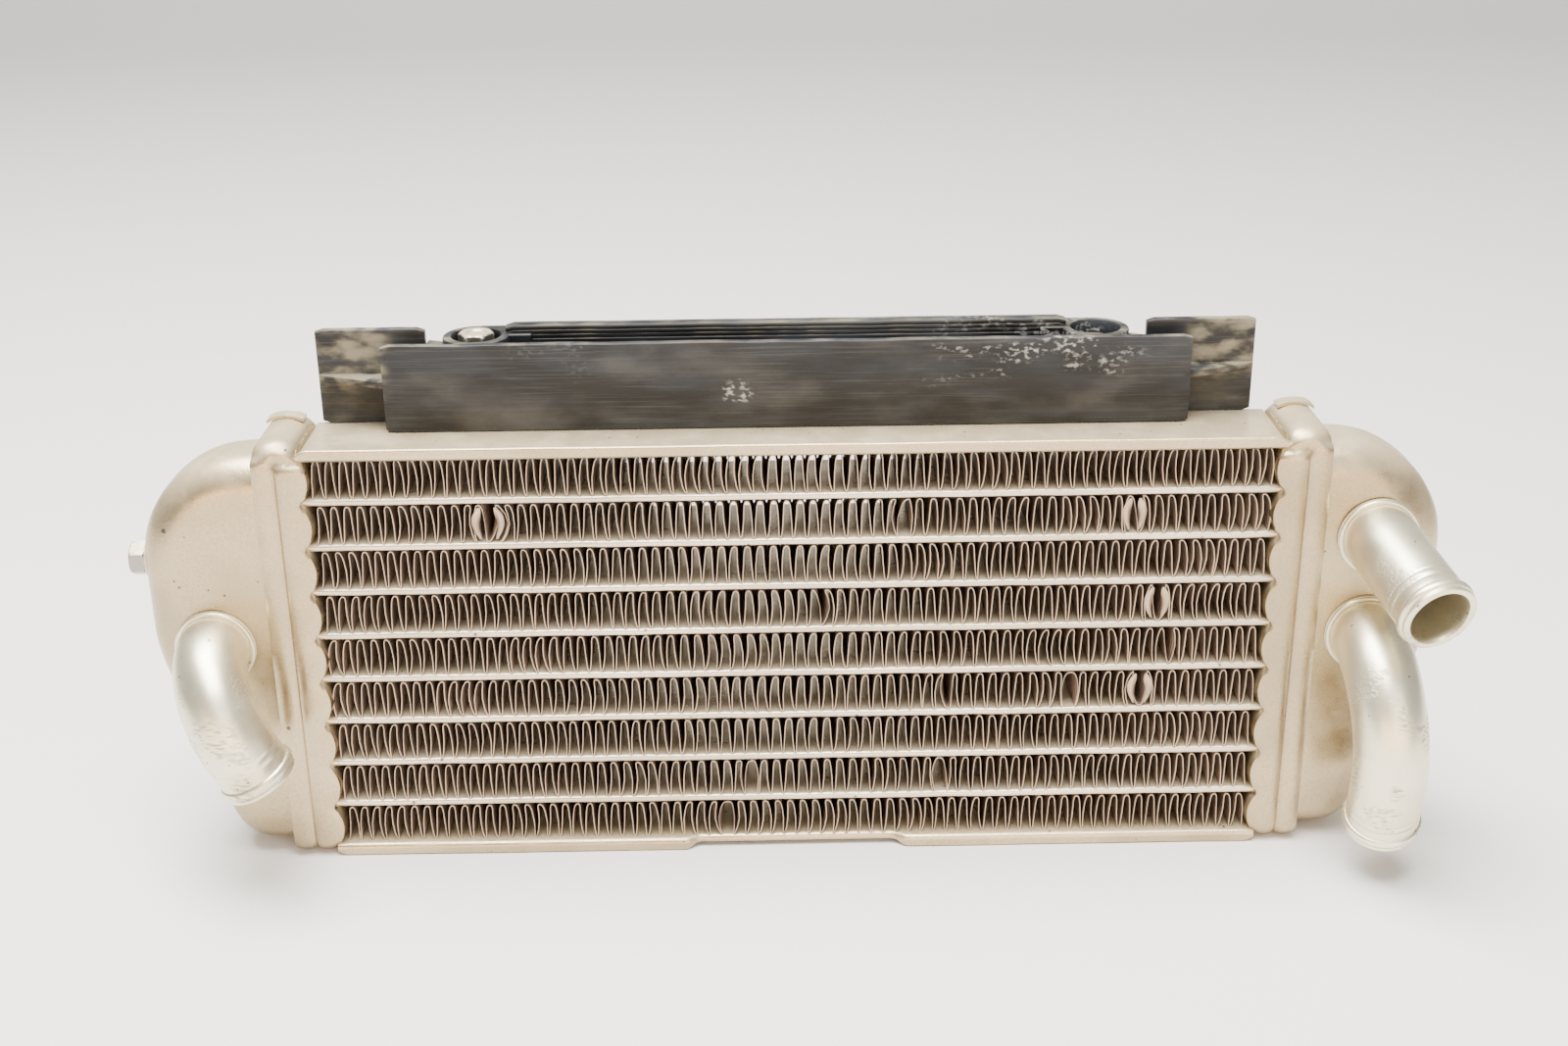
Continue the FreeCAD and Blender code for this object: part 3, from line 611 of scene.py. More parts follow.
class RADIATOR_OT_fins(bpy.types.Operator):
    """Build the folded fin rows, with bent legs and a few crushed folds"""

    bl_idname = "radiator.fins"
    bl_label = "Fins"

    def fold_line(self, s, row, chance):
        """Centre line of the strip as (x, z, how far along x handling may move it) tuples."""
        folds = round(2 * s["fin_reach"] / s["fin_wave"])
        wave = 2 * s["fin_reach"] / folds
        half = (s["fin_height"] - s["fin_sheet"]) / 2
        line = []
        for fold in range(folds):
            left = -s["fin_reach"] + fold * wave
            lean = 0.16 * ripple(left, row * 31, 0, 9.0) + chance.uniform(-0.07, 0.07)
            knee = s["fin_bend"] * (ripple(left, row * 17, 5, 14.0) * 1.6)
            knee += chance.uniform(-0.12, 0.12)
            kick = chance.uniform(-0.1, 0.1)
            for across, up in FOLD:
                x = left + across * wave + lean * up * 1.2
                bow = (1 - up * up) * knee + (1 - abs(up)) * kick
                line.append((x, up * half, bow))
        line.append((s["fin_reach"], -half, 0.0))
        return line

    def execute(self, context):
        s = sizes(context)
        low, high = node_box("fin_row_1")
        steps = (0.0, 0.5, 1.4, 3.0, 6.0, 12.0, 17.8, 20.8, 22.4, 23.1, high.y - low.y)
        for row in range(1, ROWS + 1):
            chance = random.Random(row)
            level = s["first_row"] + (row - 1) * s["row_pitch"]
            line = self.fold_line(s, row, chance)
            hits = [hit for hit in HITS if hit[0] == row]
            columns = []
            for depth in steps:
                y = low.y + depth
                open_front, open_back = math.exp(-depth / 3.2), math.exp(-(high.y - y) / 2.4)
                spots = []
                for x, z, bow in line:
                    shift = bow * (0.25 + 0.75 * open_front) - bow * 0.5 * open_back
                    sunk = 0.0
                    for _, place, reach, push in hits:
                        near = (x - place) / reach
                        if abs(near) < 1:
                            fade = (1 - near * near) ** 2
                            arch = math.cos(math.pi * z / s["fin_height"])
                            shift += push * fade * near * 2.2 * arch * open_front
                            shift += push * 0.35 * fade * math.sin(near * 7) * open_front
                            sunk += 0.7 * fade * arch * open_front
                    spots.append(Vector((x + shift, z, y + sunk)))
                columns.append(spots)
            points, faces = self.strip(columns, s["fin_sheet"] / 2, level)
            for _, place, reach, push in hits:
                for lean in (-1, 1) if push > TORN else ():
                    self.petal(points, faces, place + lean * reach * 0.3, low.y, level,
                               lean * push, s["fin_height"] / 2)
            make(f"fins_{row}", (points, faces), [f"fin_row_{row}"], "fin_aluminium", 50,
                 merge=False)
        return {"FINISHED"}

    def petal(self, points, faces, place, front, level, lean, half):
        """A torn leaf of fin sheet, curled out of the row's front; lean tells its side."""
        start, steps, thick = len(points), 9, 0.22
        for step in range(steps):
            share = step / (steps - 1)
            wide = 0.25 + 0.85 * math.sin(math.pi * share ** 0.8)
            z = level + half * (0.86 - 1.72 * share)
            x = place + lean * 0.45 * math.sin(math.pi * share)
            y = front - 0.1 + 0.5 * share
            curl = 0.8 * math.sin(math.pi * share)
            edge = math.copysign(wide, lean)
            points.extend(((x - edge, y + curl, z), (x, y - curl * 0.3, z),
                           (x + edge, y + curl * 0.35, z), (x + edge, y + curl * 0.35 + thick, z),
                           (x, y - curl * 0.3 + thick, z), (x - edge, y + curl + thick, z)))
        faces.extend(strip_faces(steps, 6, around=True, start=start))
        end = start + (steps - 1) * 6
        faces.append(tuple(start + spot for spot in range(6)))
        faces.append(tuple(end + spot for spot in reversed(range(6))))

    def strip(self, columns, half, level):
        """A closed strip round a sheet of centre points, given as one line for each depth."""
        count = len(columns[0])
        loops = []
        for spots in columns:
            above, below = [], []
            for index, spot in enumerate(spots):
                before, after = spots[max(index - 1, 0)], spots[min(index + 1, count - 1)]
                run = Vector((after.x - before.x, after.y - before.y)).normalized()
                off = Vector((-run.y, run.x)) * half
                above.append((spot.x + off.x, spot.z, level + spot.y + off.y))
                below.append((spot.x - off.x, spot.z, level + spot.y - off.y))
            loops.append(above)
            loops.insert(0, below)
        points = [point for loop in loops for point in loop]
        faces = []
        rows = len(loops)
        for row in range(rows):
            after_row = (row + 1) % rows
            for spot in range(count - 1):
                first, second = row * count + spot, after_row * count + spot
                faces.append((first, first + 1, second + 1, second))
        faces.append(tuple(row * count for row in range(rows)))
        faces.append(tuple(row * count + count - 1 for row in reversed(range(rows))))
        return points, faces


class RADIATOR_OT_side_plates(bpy.types.Operator):
    """Build the two folded side plates with their rolled lips"""

    bl_idname = "radiator.side_plates"
    bl_label = "Side plates"

    def section(self, s, front, back, lip):
        """Outline of the folded sheet in depth and height, with its web on height nought."""
        sheet, bend = s["plate"], s["plate"] + 0.35
        tip = sheet / 2
        outline = [(back, 0.0)]
        outline += arc_points((front + bend, bend), bend, 270, 180, 8)
        outline += arc_points((front + tip, max(lip - tip, bend)), tip, 180, 0, 8)
        outline += arc_points((front + bend, bend), bend - sheet, 180, 270, 8)
        outline += arc_points((back - tip, tip), tip, 90, -90, 6)[:-1]
        return outline

    def execute(self, context):
        s = sizes(context)
        corner, notch, slant, cut_lip, station = 2.5, 29.0, 4.0, 1.9, 1.25
        for node, sign in (("top_side_plate", 1), ("bottom_side_plate", -1)):
            low, high = node_box(node)
            base = low.z if sign > 0 else high.z
            count = round((high.x - low.x) / station)
            rings = []
            for step in range(count + 1):
                x = low.x + (high.x - low.x) * step / count
                inside = min(high.x - x, x - low.x, corner)
                lip = s["lip"] - corner + math.sqrt(corner ** 2 - (corner - inside) ** 2)
                front = low.y + 0.15 * smooth(ripple(x, 0, base, 30.0) + 0.5)
                if sign < 0:
                    open_share = smooth((notch - abs(x)) / slant)
                    lip += (cut_lip - lip) * open_share
                    front += cut_lip * open_share
                wavy = 0.14 * (ripple(x, 9, base, 22.0) - 0.5)
                rings.append([(x, y, base + sign * (z + wavy * smooth((z - 1.5) / 1.5)))
                              for y, z in self.section(s, front, high.y, lip)])
            points, faces = tube_mesh(rings)
            if sign < 0:
                faces = turned_over(faces)
            make(node.replace("_side", ""), (points, faces), [node], "core_aluminium",
                 merge=False)
        return {"FINISHED"}


# Half width of the ridge, and how much further the collar's inside reaches at the top, where
# the tank's corners are rounder than its own.
RIDGE_HALF, LINING = 5.6, 2.7


class RADIATOR_OT_headers(bpy.types.Operator):
    """Build the drawn headers: scalloped inner edge, two crowned bands and the end ridges"""

    bl_idname = "radiator.headers"
    bl_label = "Headers"

    def contour(self, s, top):
        """Points round the header seen along the tubes, with unit directions outwards."""
        half, corner, spacing = s["header_half"], s["header_corner"], 1.0
        spots = []
        corners = ((half - corner, corner, -90), (half - corner, top - corner, 0),
                   (corner - half, top - corner, 90), (corner - half, corner, 180))
        for index, (y, z, first) in enumerate(corners):
            for a in range(0, 90, 9):
                angle = math.radians(first + a)
                spots.append((y + corner * math.cos(angle), z + corner * math.sin(angle),
                              math.cos(angle), math.sin(angle)))
            angle = math.radians(first + 90)
            after = corners[(index + 1) % 4]
            start = (y + corner * math.cos(angle), z + corner * math.sin(angle))
            end = (after[0] + corner * math.cos(angle), after[1] + corner * math.sin(angle))
            count = max(1, round(math.dist(start, end) / spacing))
            for step in range(count):
                share = step / count
                spots.append((start[0] + (end[0] - start[0]) * share,
                              start[1] + (end[1] - start[1]) * share,
                              math.cos(angle), math.sin(angle)))
        return spots

    def ridge(self, across):
        """How far the round ridge at the header's end has dropped, across the collar."""
        return 3.6 * (1 - math.sqrt(max(0.0, 1 - (across / RIDGE_HALF - 1) ** 2)))

    def inset(self, across, z, outwards_z, s):
        """How far the outer skin lies inside the contour, at a place across the collar."""
        top = s["header_top"]
        band = 0.0
        for middle, reach, rise in ((2.9, 2.9, 1.5), (8.4, 3.1, 1.5)):
            near = abs(across - middle) / reach
            if near < 1:
                band = max(band, rise * math.sqrt(1 - near * near))
        bands = 1.5 - band
        ridge = self.ridge(across)
        over = smooth((outwards_z - 0.12) / 0.5)
        finger = smooth((z - (top - 6.8)) / 1.6) * (1 - smooth((outwards_z - 0.2) / 0.5))
        finger *= 1 - smooth((across - 4.8) / 1.6)
        return bands * (1 - over) + ridge * over + 1.3 * finger * (1 - over)

    def scallop(self, z, s):
        place = (z - s["first_row"] + s["row_pitch"] / 2) / s["row_pitch"]
        if 0 < place < ROWS:
            return s["scallop"] * math.sin(math.pi * (place % 1.0)) ** 0.7
        return 0.0

    def build(self, s, side, sign):
        top, sheet, core, collar = s["header_top"], s["sheet"], s["core_end"], s["collar"]
        spots = self.contour(s, top)
        rings = []

        def ring(across, wave, inside=None, squeeze=1.0):
            """One loop; without an inset of its own it follows the outer skin."""
            points = []
            for y, z, out_y, out_z in spots:
                reach = inside
                if inside is None:
                    reach = self.inset(across, z, out_z, s)
                    reach = max(reach + 0.05 * ripple(z, y + across, sign * 30, 8.0), 0.0)
                elif inside > sheet * 2:
                    reach += LINING * smooth((z - top + 9.4) / 3.0)
                level = z - out_z * reach
                x = core + across - wave * self.scallop(level, s)
                points.append((sign * x, (y - out_y * reach) * squeeze, level))
            rings.append(points)

        for squeeze in (0.0, 0.3, 0.6, 0.8, 0.92):
            ring(0.0, 1.0, 2.4, squeeze)
        ring(0.15, 1.0, 2.2)
        for across, wave in ((0.3, 0.95), (0.8, 0.75), (1.4, 0.5), (2.1, 0.25), (2.9, 0.08)):
            ring(across, wave)
        for across in (3.8, 4.7, 5.25, 5.55, 5.9, 6.6, 7.5, 8.4, 9.3, 10.2, 10.8, collar):
            ring(across, 0.0)
        for across, inside in ((collar, 3.9), (6.0, 4.0), (sheet + 0.6, 4.0)):
            ring(across, 0.0, inside)
        for squeeze in (0.8, 0.4, 0.0):
            ring(sheet + 0.5, 0.0, 4.2, squeeze)
        points = [point for loop in rings for point in loop]
        faces = strip_faces(len(rings), len(spots), around=True)
        if sign > 0:
            faces = turned_over(faces)
        faces += self.tab(s, sign, points)
        make(f"{side}_header_shell", (points, faces), [f"{side}_header"], "tank_aluminium", 50)

    def tab(self, s, sign, points):
        """Folded flat tab that lies on the outer slope of the end ridge."""
        start = len(points)
        thick, long, front, wide = 0.75, 9.6, 4.6, 4.2
        stations = 7
        for step in range(stations):
            share = step / (stations - 1)
            across = s["collar"] - long * (1 - share)
            level = s["header_top"] + 0.05 - self.ridge(across) * 0.55
            skew = 1.4 * share
            for y, z in ((front, 0), (front + wide, 0), (front + wide, thick), (front, thick)):
                points.append((sign * (s["core_end"] + across), y + skew, level + z))
        faces = strip_faces(stations, 4, around=True, start=start)
        end = start + (stations - 1) * 4
        faces.append((start, start + 1, start + 2, start + 3))
        faces.append((end + 3, end + 2, end + 1, end))
        return faces

    def execute(self, context):
        s = sizes(context)
        for side, sign in SIDES:
            self.build(s, side, sign)
        return {"FINISHED"}


# Pipe: node, side, tank hole past the core's end, height, bend radius, bend and lean in
# degrees, straight lengths before and after the bend.
PIPES = (("left_pipe", -1, 25.0, 60.5, 18.2, 97, 25, 1.8, 10.0),
         ("right_upper_pipe", 1, 24.4, 86.0, 22.0, 22, 38, 1.8, 23.0),
         ("right_lower_pipe", 1, 23.5, 60.0, 22.0, 111, 5, 2.2, 17.0))
# Across the tank from its mouth, and height: the outline of a tank seen from the front.
TANK_OUTLINE = ((123.0, 109.37), (162.2, 109.37), (162.2, 58.0), (145.7, 1.63), (123.0, 1.63))
TANK_BENDS = (28.0, 40.0, 12.0)
TANK_HALF = 12.87
BLEED_SPOT = (2.0, 79.0)
HEAD_THICK, HEAD_FLATS, HEAD_CORNER = 4.2, 8.0, 4.62
THREAD_RADIUS, TIP_RADIUS = 3.0, 2.4


class RADIATOR_OT_tanks(bpy.types.Operator):
    """Build the two pressed tanks with swollen faces and holes for their pipes"""

    bl_idname = "radiator.tanks"
    bl_label = "Tanks"

    def hole(self, name, centre, axis, deep, radius):
        rings = around(centre, axis, ((0, radius), (deep, radius)))
        return new_piece(name, *tube_mesh(rings), None)

    def execute(self, context):
        s = sizes(context)
        gap = 0.03
        for side, sign in SIDES:
            skin = self.skin(s, side, sign)
            wall = skin.modifiers.new("wall", "SOLIDIFY")
            wall.thickness = s["tank_wall"] * MM
            wall.offset = -1.0
            wall.use_even_offset = True
            cutters = [self.hole(f"hole_{node}", (sign * (s["core_end"] + out), -TANK_HALF - 3, up),
                                 (0, 1, 0), 9, s["pipe_radius"] + gap)
                       for node, end, out, up, *_ in PIPES if end == sign]
            if side == "left":
                cutters.append(self.hole("hole_bung", (-166, *BLEED_SPOT), (1, 0, 0), 15, 6 + gap))
            shade(cut_out(skin, cutters), 40)
            hand_over(skin, [f"{side}_tank"], "tank_aluminium")
        return {"FINISHED"}

    def skin(self, s, side, sign):
        outline = resample(rounded_run(TANK_OUTLINE, TANK_BENDS, 14), 2.6)
        mouth = outline[0][0]
        lifts = [(90, 0.0, 1.0), (90, 0.3, 0.92), (90, 0.6, 0.66), (90, 0.85, 0.22)]
        lifts += [(90 * step / 8, 1.0, 0.0) for step in range(8, -1, -1)]
        rings = [self.ring(s, outline, mouth, *lift, -1) for lift in lifts]
        rings += [self.ring(s, outline, mouth, 0, 1.0, 0.0, half) for half in (-0.5, 0.5)]
        rings += [self.ring(s, outline, mouth, *lift, 1) for lift in reversed(lifts)]
        points = []
        for x, y, z in (point for loop in rings for point in loop):
            dent = 0.16 * ripple(x, y, z, 16.0) + 0.06 * ripple(x, y, z, 5.0)
            if side == "right":
                dent += 0.9 * math.exp(-((x - 152) ** 2 + (z - 97) ** 2) / 18)
            dent *= smooth((x - mouth) / 4)
            if abs(y) > 3.9:
                y += dent if y < 0 else -dent
            points.append((sign * x, min(max(y, -TANK_HALF), TANK_HALF), z))
        faces = strip_faces(len(rings), len(rings[0]))
        if sign < 0:
            faces = turned_over(faces)
        piece = new_piece(f"{side}_tank_shell", points, faces, finish_of("tank_aluminium"), 60)
        return close_up(piece, 0.002, flat=False)

    def ring(self, s, outline, mouth, angle, share, swell, turn):
        """One open run from the mouth's top round the outer side to the mouth's bottom."""
        flat, radius, middle = TANK_HALF - s["tank_dome"], s["tank_round"], 62.0
        lift = math.radians(angle)
        inset = radius * (1 - math.cos(lift))
        y = flat - radius + radius * math.sin(lift)
        if abs(turn) < 1:
            y = (flat - radius) * abs(turn)
        y += s["tank_dome"] * swell
        points = []
        last = len(outline) - 1
        for index, spot in enumerate(outline):
            before, after = outline[max(index - 1, 0)], outline[min(index + 1, last)]
            run = Vector((after[0] - before[0], after[1] - before[1])).normalized()
            x = mouth if index in (0, last) else max(spot[0] + run.y * inset, mouth)
            z = spot[1] - run.x * inset
            points.append((mouth + (x - mouth) * share, math.copysign(y, turn),
                           middle + (z - middle) * share))
        return points


class RADIATOR_OT_pipes(bpy.types.Operator):
    """Build the bent hose pipes with beads and hose marks, and the collars at their roots"""

    bl_idname = "radiator.pipes"
    bl_label = "Pipes"

    def outer_profile(self, s, total):
        """Distance along the pipe and outside radius."""
        r, end = s["pipe_radius"], total
        bead = end - 2.6
        profile = [(-3.9, r), (0.0, r), (1.6, r), (1.9, r)]
        spot = 3.0
        while spot < end - 9.2:
            profile.append((spot, r - 0.02))
            spot += 1.5
        for mark in (end - 8.6, end - 6.4):
            profile += [(mark - 0.35, r), (mark - 0.12, r - 0.14), (mark + 0.12, r - 0.14),
                        (mark + 0.35, r)]
        for step in range(9):
            angle = math.pi * step / 8
            profile.append((bead - 1.2 * math.cos(angle), r + s["bead"] * math.sin(angle)))
        profile += [(end - 1.15, r - 0.08), (end - 0.7, r + 0.28), (end - 0.3, r + 0.24),
                    (end - 0.06, r - 0.1)]
        profile += [(end, r - 0.7), (end - 0.06, s["bore_radius"] + 0.28)]
        return profile

    def place_on(self, s, pipe, along):
        """Point and frame on the centre line of a pipe, a distance along it."""
        _, sign, out, up, bend_radius, bend, lean, root, _ = pipe
        start = Vector((sign * (s["core_end"] + out), -TANK_HALF, up))
        ahead = Vector((0, -1, 0))
        tilt = math.radians(lean)
        down = Vector((math.sin(tilt), 0, -math.cos(tilt)))
        side = ahead.cross(down)
        swing = min(max((along - root) / bend_radius, 0.0), math.radians(bend))
        middle = start + ahead * min(along, root)
        middle += ahead * bend_radius * math.sin(swing)
        middle += down * bend_radius * (1 - math.cos(swing))
        heading = ahead * math.cos(swing) + down * math.sin(swing)
        past = along - root - math.radians(bend) * bend_radius
        if past > 0:
            middle += heading * past
        return middle, side, heading.cross(side)

    def execute(self, context):
        s = sizes(context)
        steps = 56
        for pipe in PIPES:
            node, *_, bend_radius, bend, _, root, tail = pipe
            total = root + tail + math.radians(bend) * bend_radius
            profile = self.outer_profile(s, total)
            back = round(total / 2)
            for step in range(back + 1):
                profile.append((total - 0.4 - (total + 3.4) * step / back, s["bore_radius"]))
            rings = []
            for along, radius in profile:
                middle, side, other = self.place_on(s, pipe, along)
                ring = []
                for step in range(steps):
                    angle = 2 * math.pi * step / steps
                    rough = 0.05 * ripple(along, 6 * math.cos(angle), 6 * math.sin(angle), 6.0)
                    reach = radius + min(rough, 0.0) * (radius > s["bore_radius"] + 0.1)
                    arm = side * math.cos(angle) + other * math.sin(angle)
                    ring.append(tuple(middle + arm * reach))
                rings.append(ring)
            make(f"{node}_tube", looped_mesh(rings), [node], "pipe_aluminium", 50)
            self.collar(s, pipe)
        return {"FINISHED"}

    def collar(self, s, pipe):
        node, sign, out, up = pipe[:4]
        inner, outer, thick = s["pipe_radius"] + 0.04, s["pipe_radius"] + 1.1, 1.6
        start = (sign * (s["core_end"] + out), -TANK_HALF - 0.03, up)
        profile = [(0.0, inner), (0.0, outer)]
        profile += [(thick * 0.42, outer), (thick * 0.47, outer - 0.16), (thick * 0.55, outer - 0.16),
                    (thick * 0.6, outer - 0.02)]
        for step in range(6):
            angle = math.pi / 2 * step / 5
            profile.append((thick - 0.5 + 0.5 * math.sin(angle), outer - 0.55 + 0.5 * math.cos(angle)))
        profile.append((thick - 0.15, inner))
        rings = around(start, (0, -1, 0), profile)
        make(f"{node}_weld_ring", looped_mesh(rings), [node.replace("_pipe", "_pipe_collar")],
             "pipe_aluminium", 40)


def hexagon_screw(name, node, seat, axis, profile, phase, body=MAIN_BODY):
    """A screw whose hexagon head follows (distance, largest radius) pairs from its seat."""
    steps, bevel = 72, 0.6
    low, high = node_box(node)
    end = HEAD_THICK - max(high - low)
    rings = around(seat, axis, ((end, TIP_RADIUS), (end + bevel, THREAD_RADIUS)), steps, phase)
    along = Vector(axis)
    for ring, (distance, limit) in zip(around(seat, axis, [(d, 1.0) for d, _ in profile],
                                              steps, phase), profile):
        middle = Vector(seat) + along * distance
        loop = []
        for step, point in enumerate(ring):
            turned = (360 * step / steps + 30) % 60 - 30
            reach = min(HEAD_FLATS / 2 / math.cos(math.radians(turned)), limit)
            loop.append(tuple(middle + (Vector(point) - middle) * reach))
        rings.append(loop)
    make(name, tube_mesh(rings), [node], "plated_steel", 28, body)


class RADIATOR_OT_bleed(bpy.types.Operator):
    """Build the bleed screw, its washer and its bung"""

    bl_idname = "radiator.bleed"
    bl_label = "Bleed screw"

    def ring(self, name, node, slot, body, profile):
        """A round piece on the screw's axis; profile takes its radius and its thickness."""
        low, high = node_box(node)
        rings = around((high.x, *BLEED_SPOT), (-1, 0, 0),
                       profile((high.z - low.z) / 2, high.x - low.x))
        make(name, looped_mesh(rings), [node], slot, body=body)

    def execute(self, context):
        low, high = node_box("bleed_screw")
        bore, top = 3.08, HEAD_THICK
        profile = ((0.0, THREAD_RADIUS), (0.0, 4.1), (0.35, 4.35), (0.42, HEAD_CORNER),
                   (top - 0.75, HEAD_CORNER), (top - 0.35, 4.3), (top - 0.08, 3.95), (top, 3.7),
                   (top - 0.12, 2.6), (top - 0.18, 1.2), (top - 0.18, 0.25))
        across_y = high.y - low.y > high.z - low.z
        hexagon_screw("bleed_screw_body", "bleed_screw", (low.x + top, *BLEED_SPOT), (-1, 0, 0),
                      profile, math.radians(-45 if across_y else 45), "bleed_screw")
        self.ring("bleed_washer_ring", "bleed_washer", "washer_aluminium", "bleed_washer",
                  lambda outer, thin: ((0.0, bore), (0.0, outer - 0.3), (0.25, outer),
                                       (thin - 0.25, outer), (thin, outer - 0.3), (thin, bore)))
        self.ring("bleed_boss", "bleed_bung", "tank_aluminium", MAIN_BODY,
                  lambda outer, deep: ((0.0, bore), (0.0, outer), (deep - 0.35, outer),
                                       (deep, outer - 0.4), (deep, 3.4), (deep - 0.3, bore)))
        return {"FINISHED"}


# The carrier: half lengths from its middle, places in depth and heights above its foot.
CARRIER_MIDDLE = -1.0
RAIL_HALF, RAIL_TALL = 100.0, 22.6
REAR_HALF, REAR_FRONT, REAR_BACK, REAR_TALL = 70.5, 17.0, 21.0, 23.6
FLAP_INNER, FLAP_OUTER, FLAP_FRONT, FLAP_BACK = 90.0, 117.3, 12.2, 14.4
SHELF_LOW, SHELF_HIGH, SHELF_FRONT, SHELF_BACK = 11.0, 13.0, 5.3, 19.0
EYE_ACROSS, EYE_BACK, EYE_RADIUS, EYE_LOW, EYE_TOP, EYE_LUG = 77.8, 16.2, 8.4, 8.5, 21.5, 14.0
BOLT_HOLE, RECESS_RADIUS, RECESS_LEVEL = 3.3, 6.1, 9.6
SMALL_EDGE, EYE_STEPS = 0.3, 56


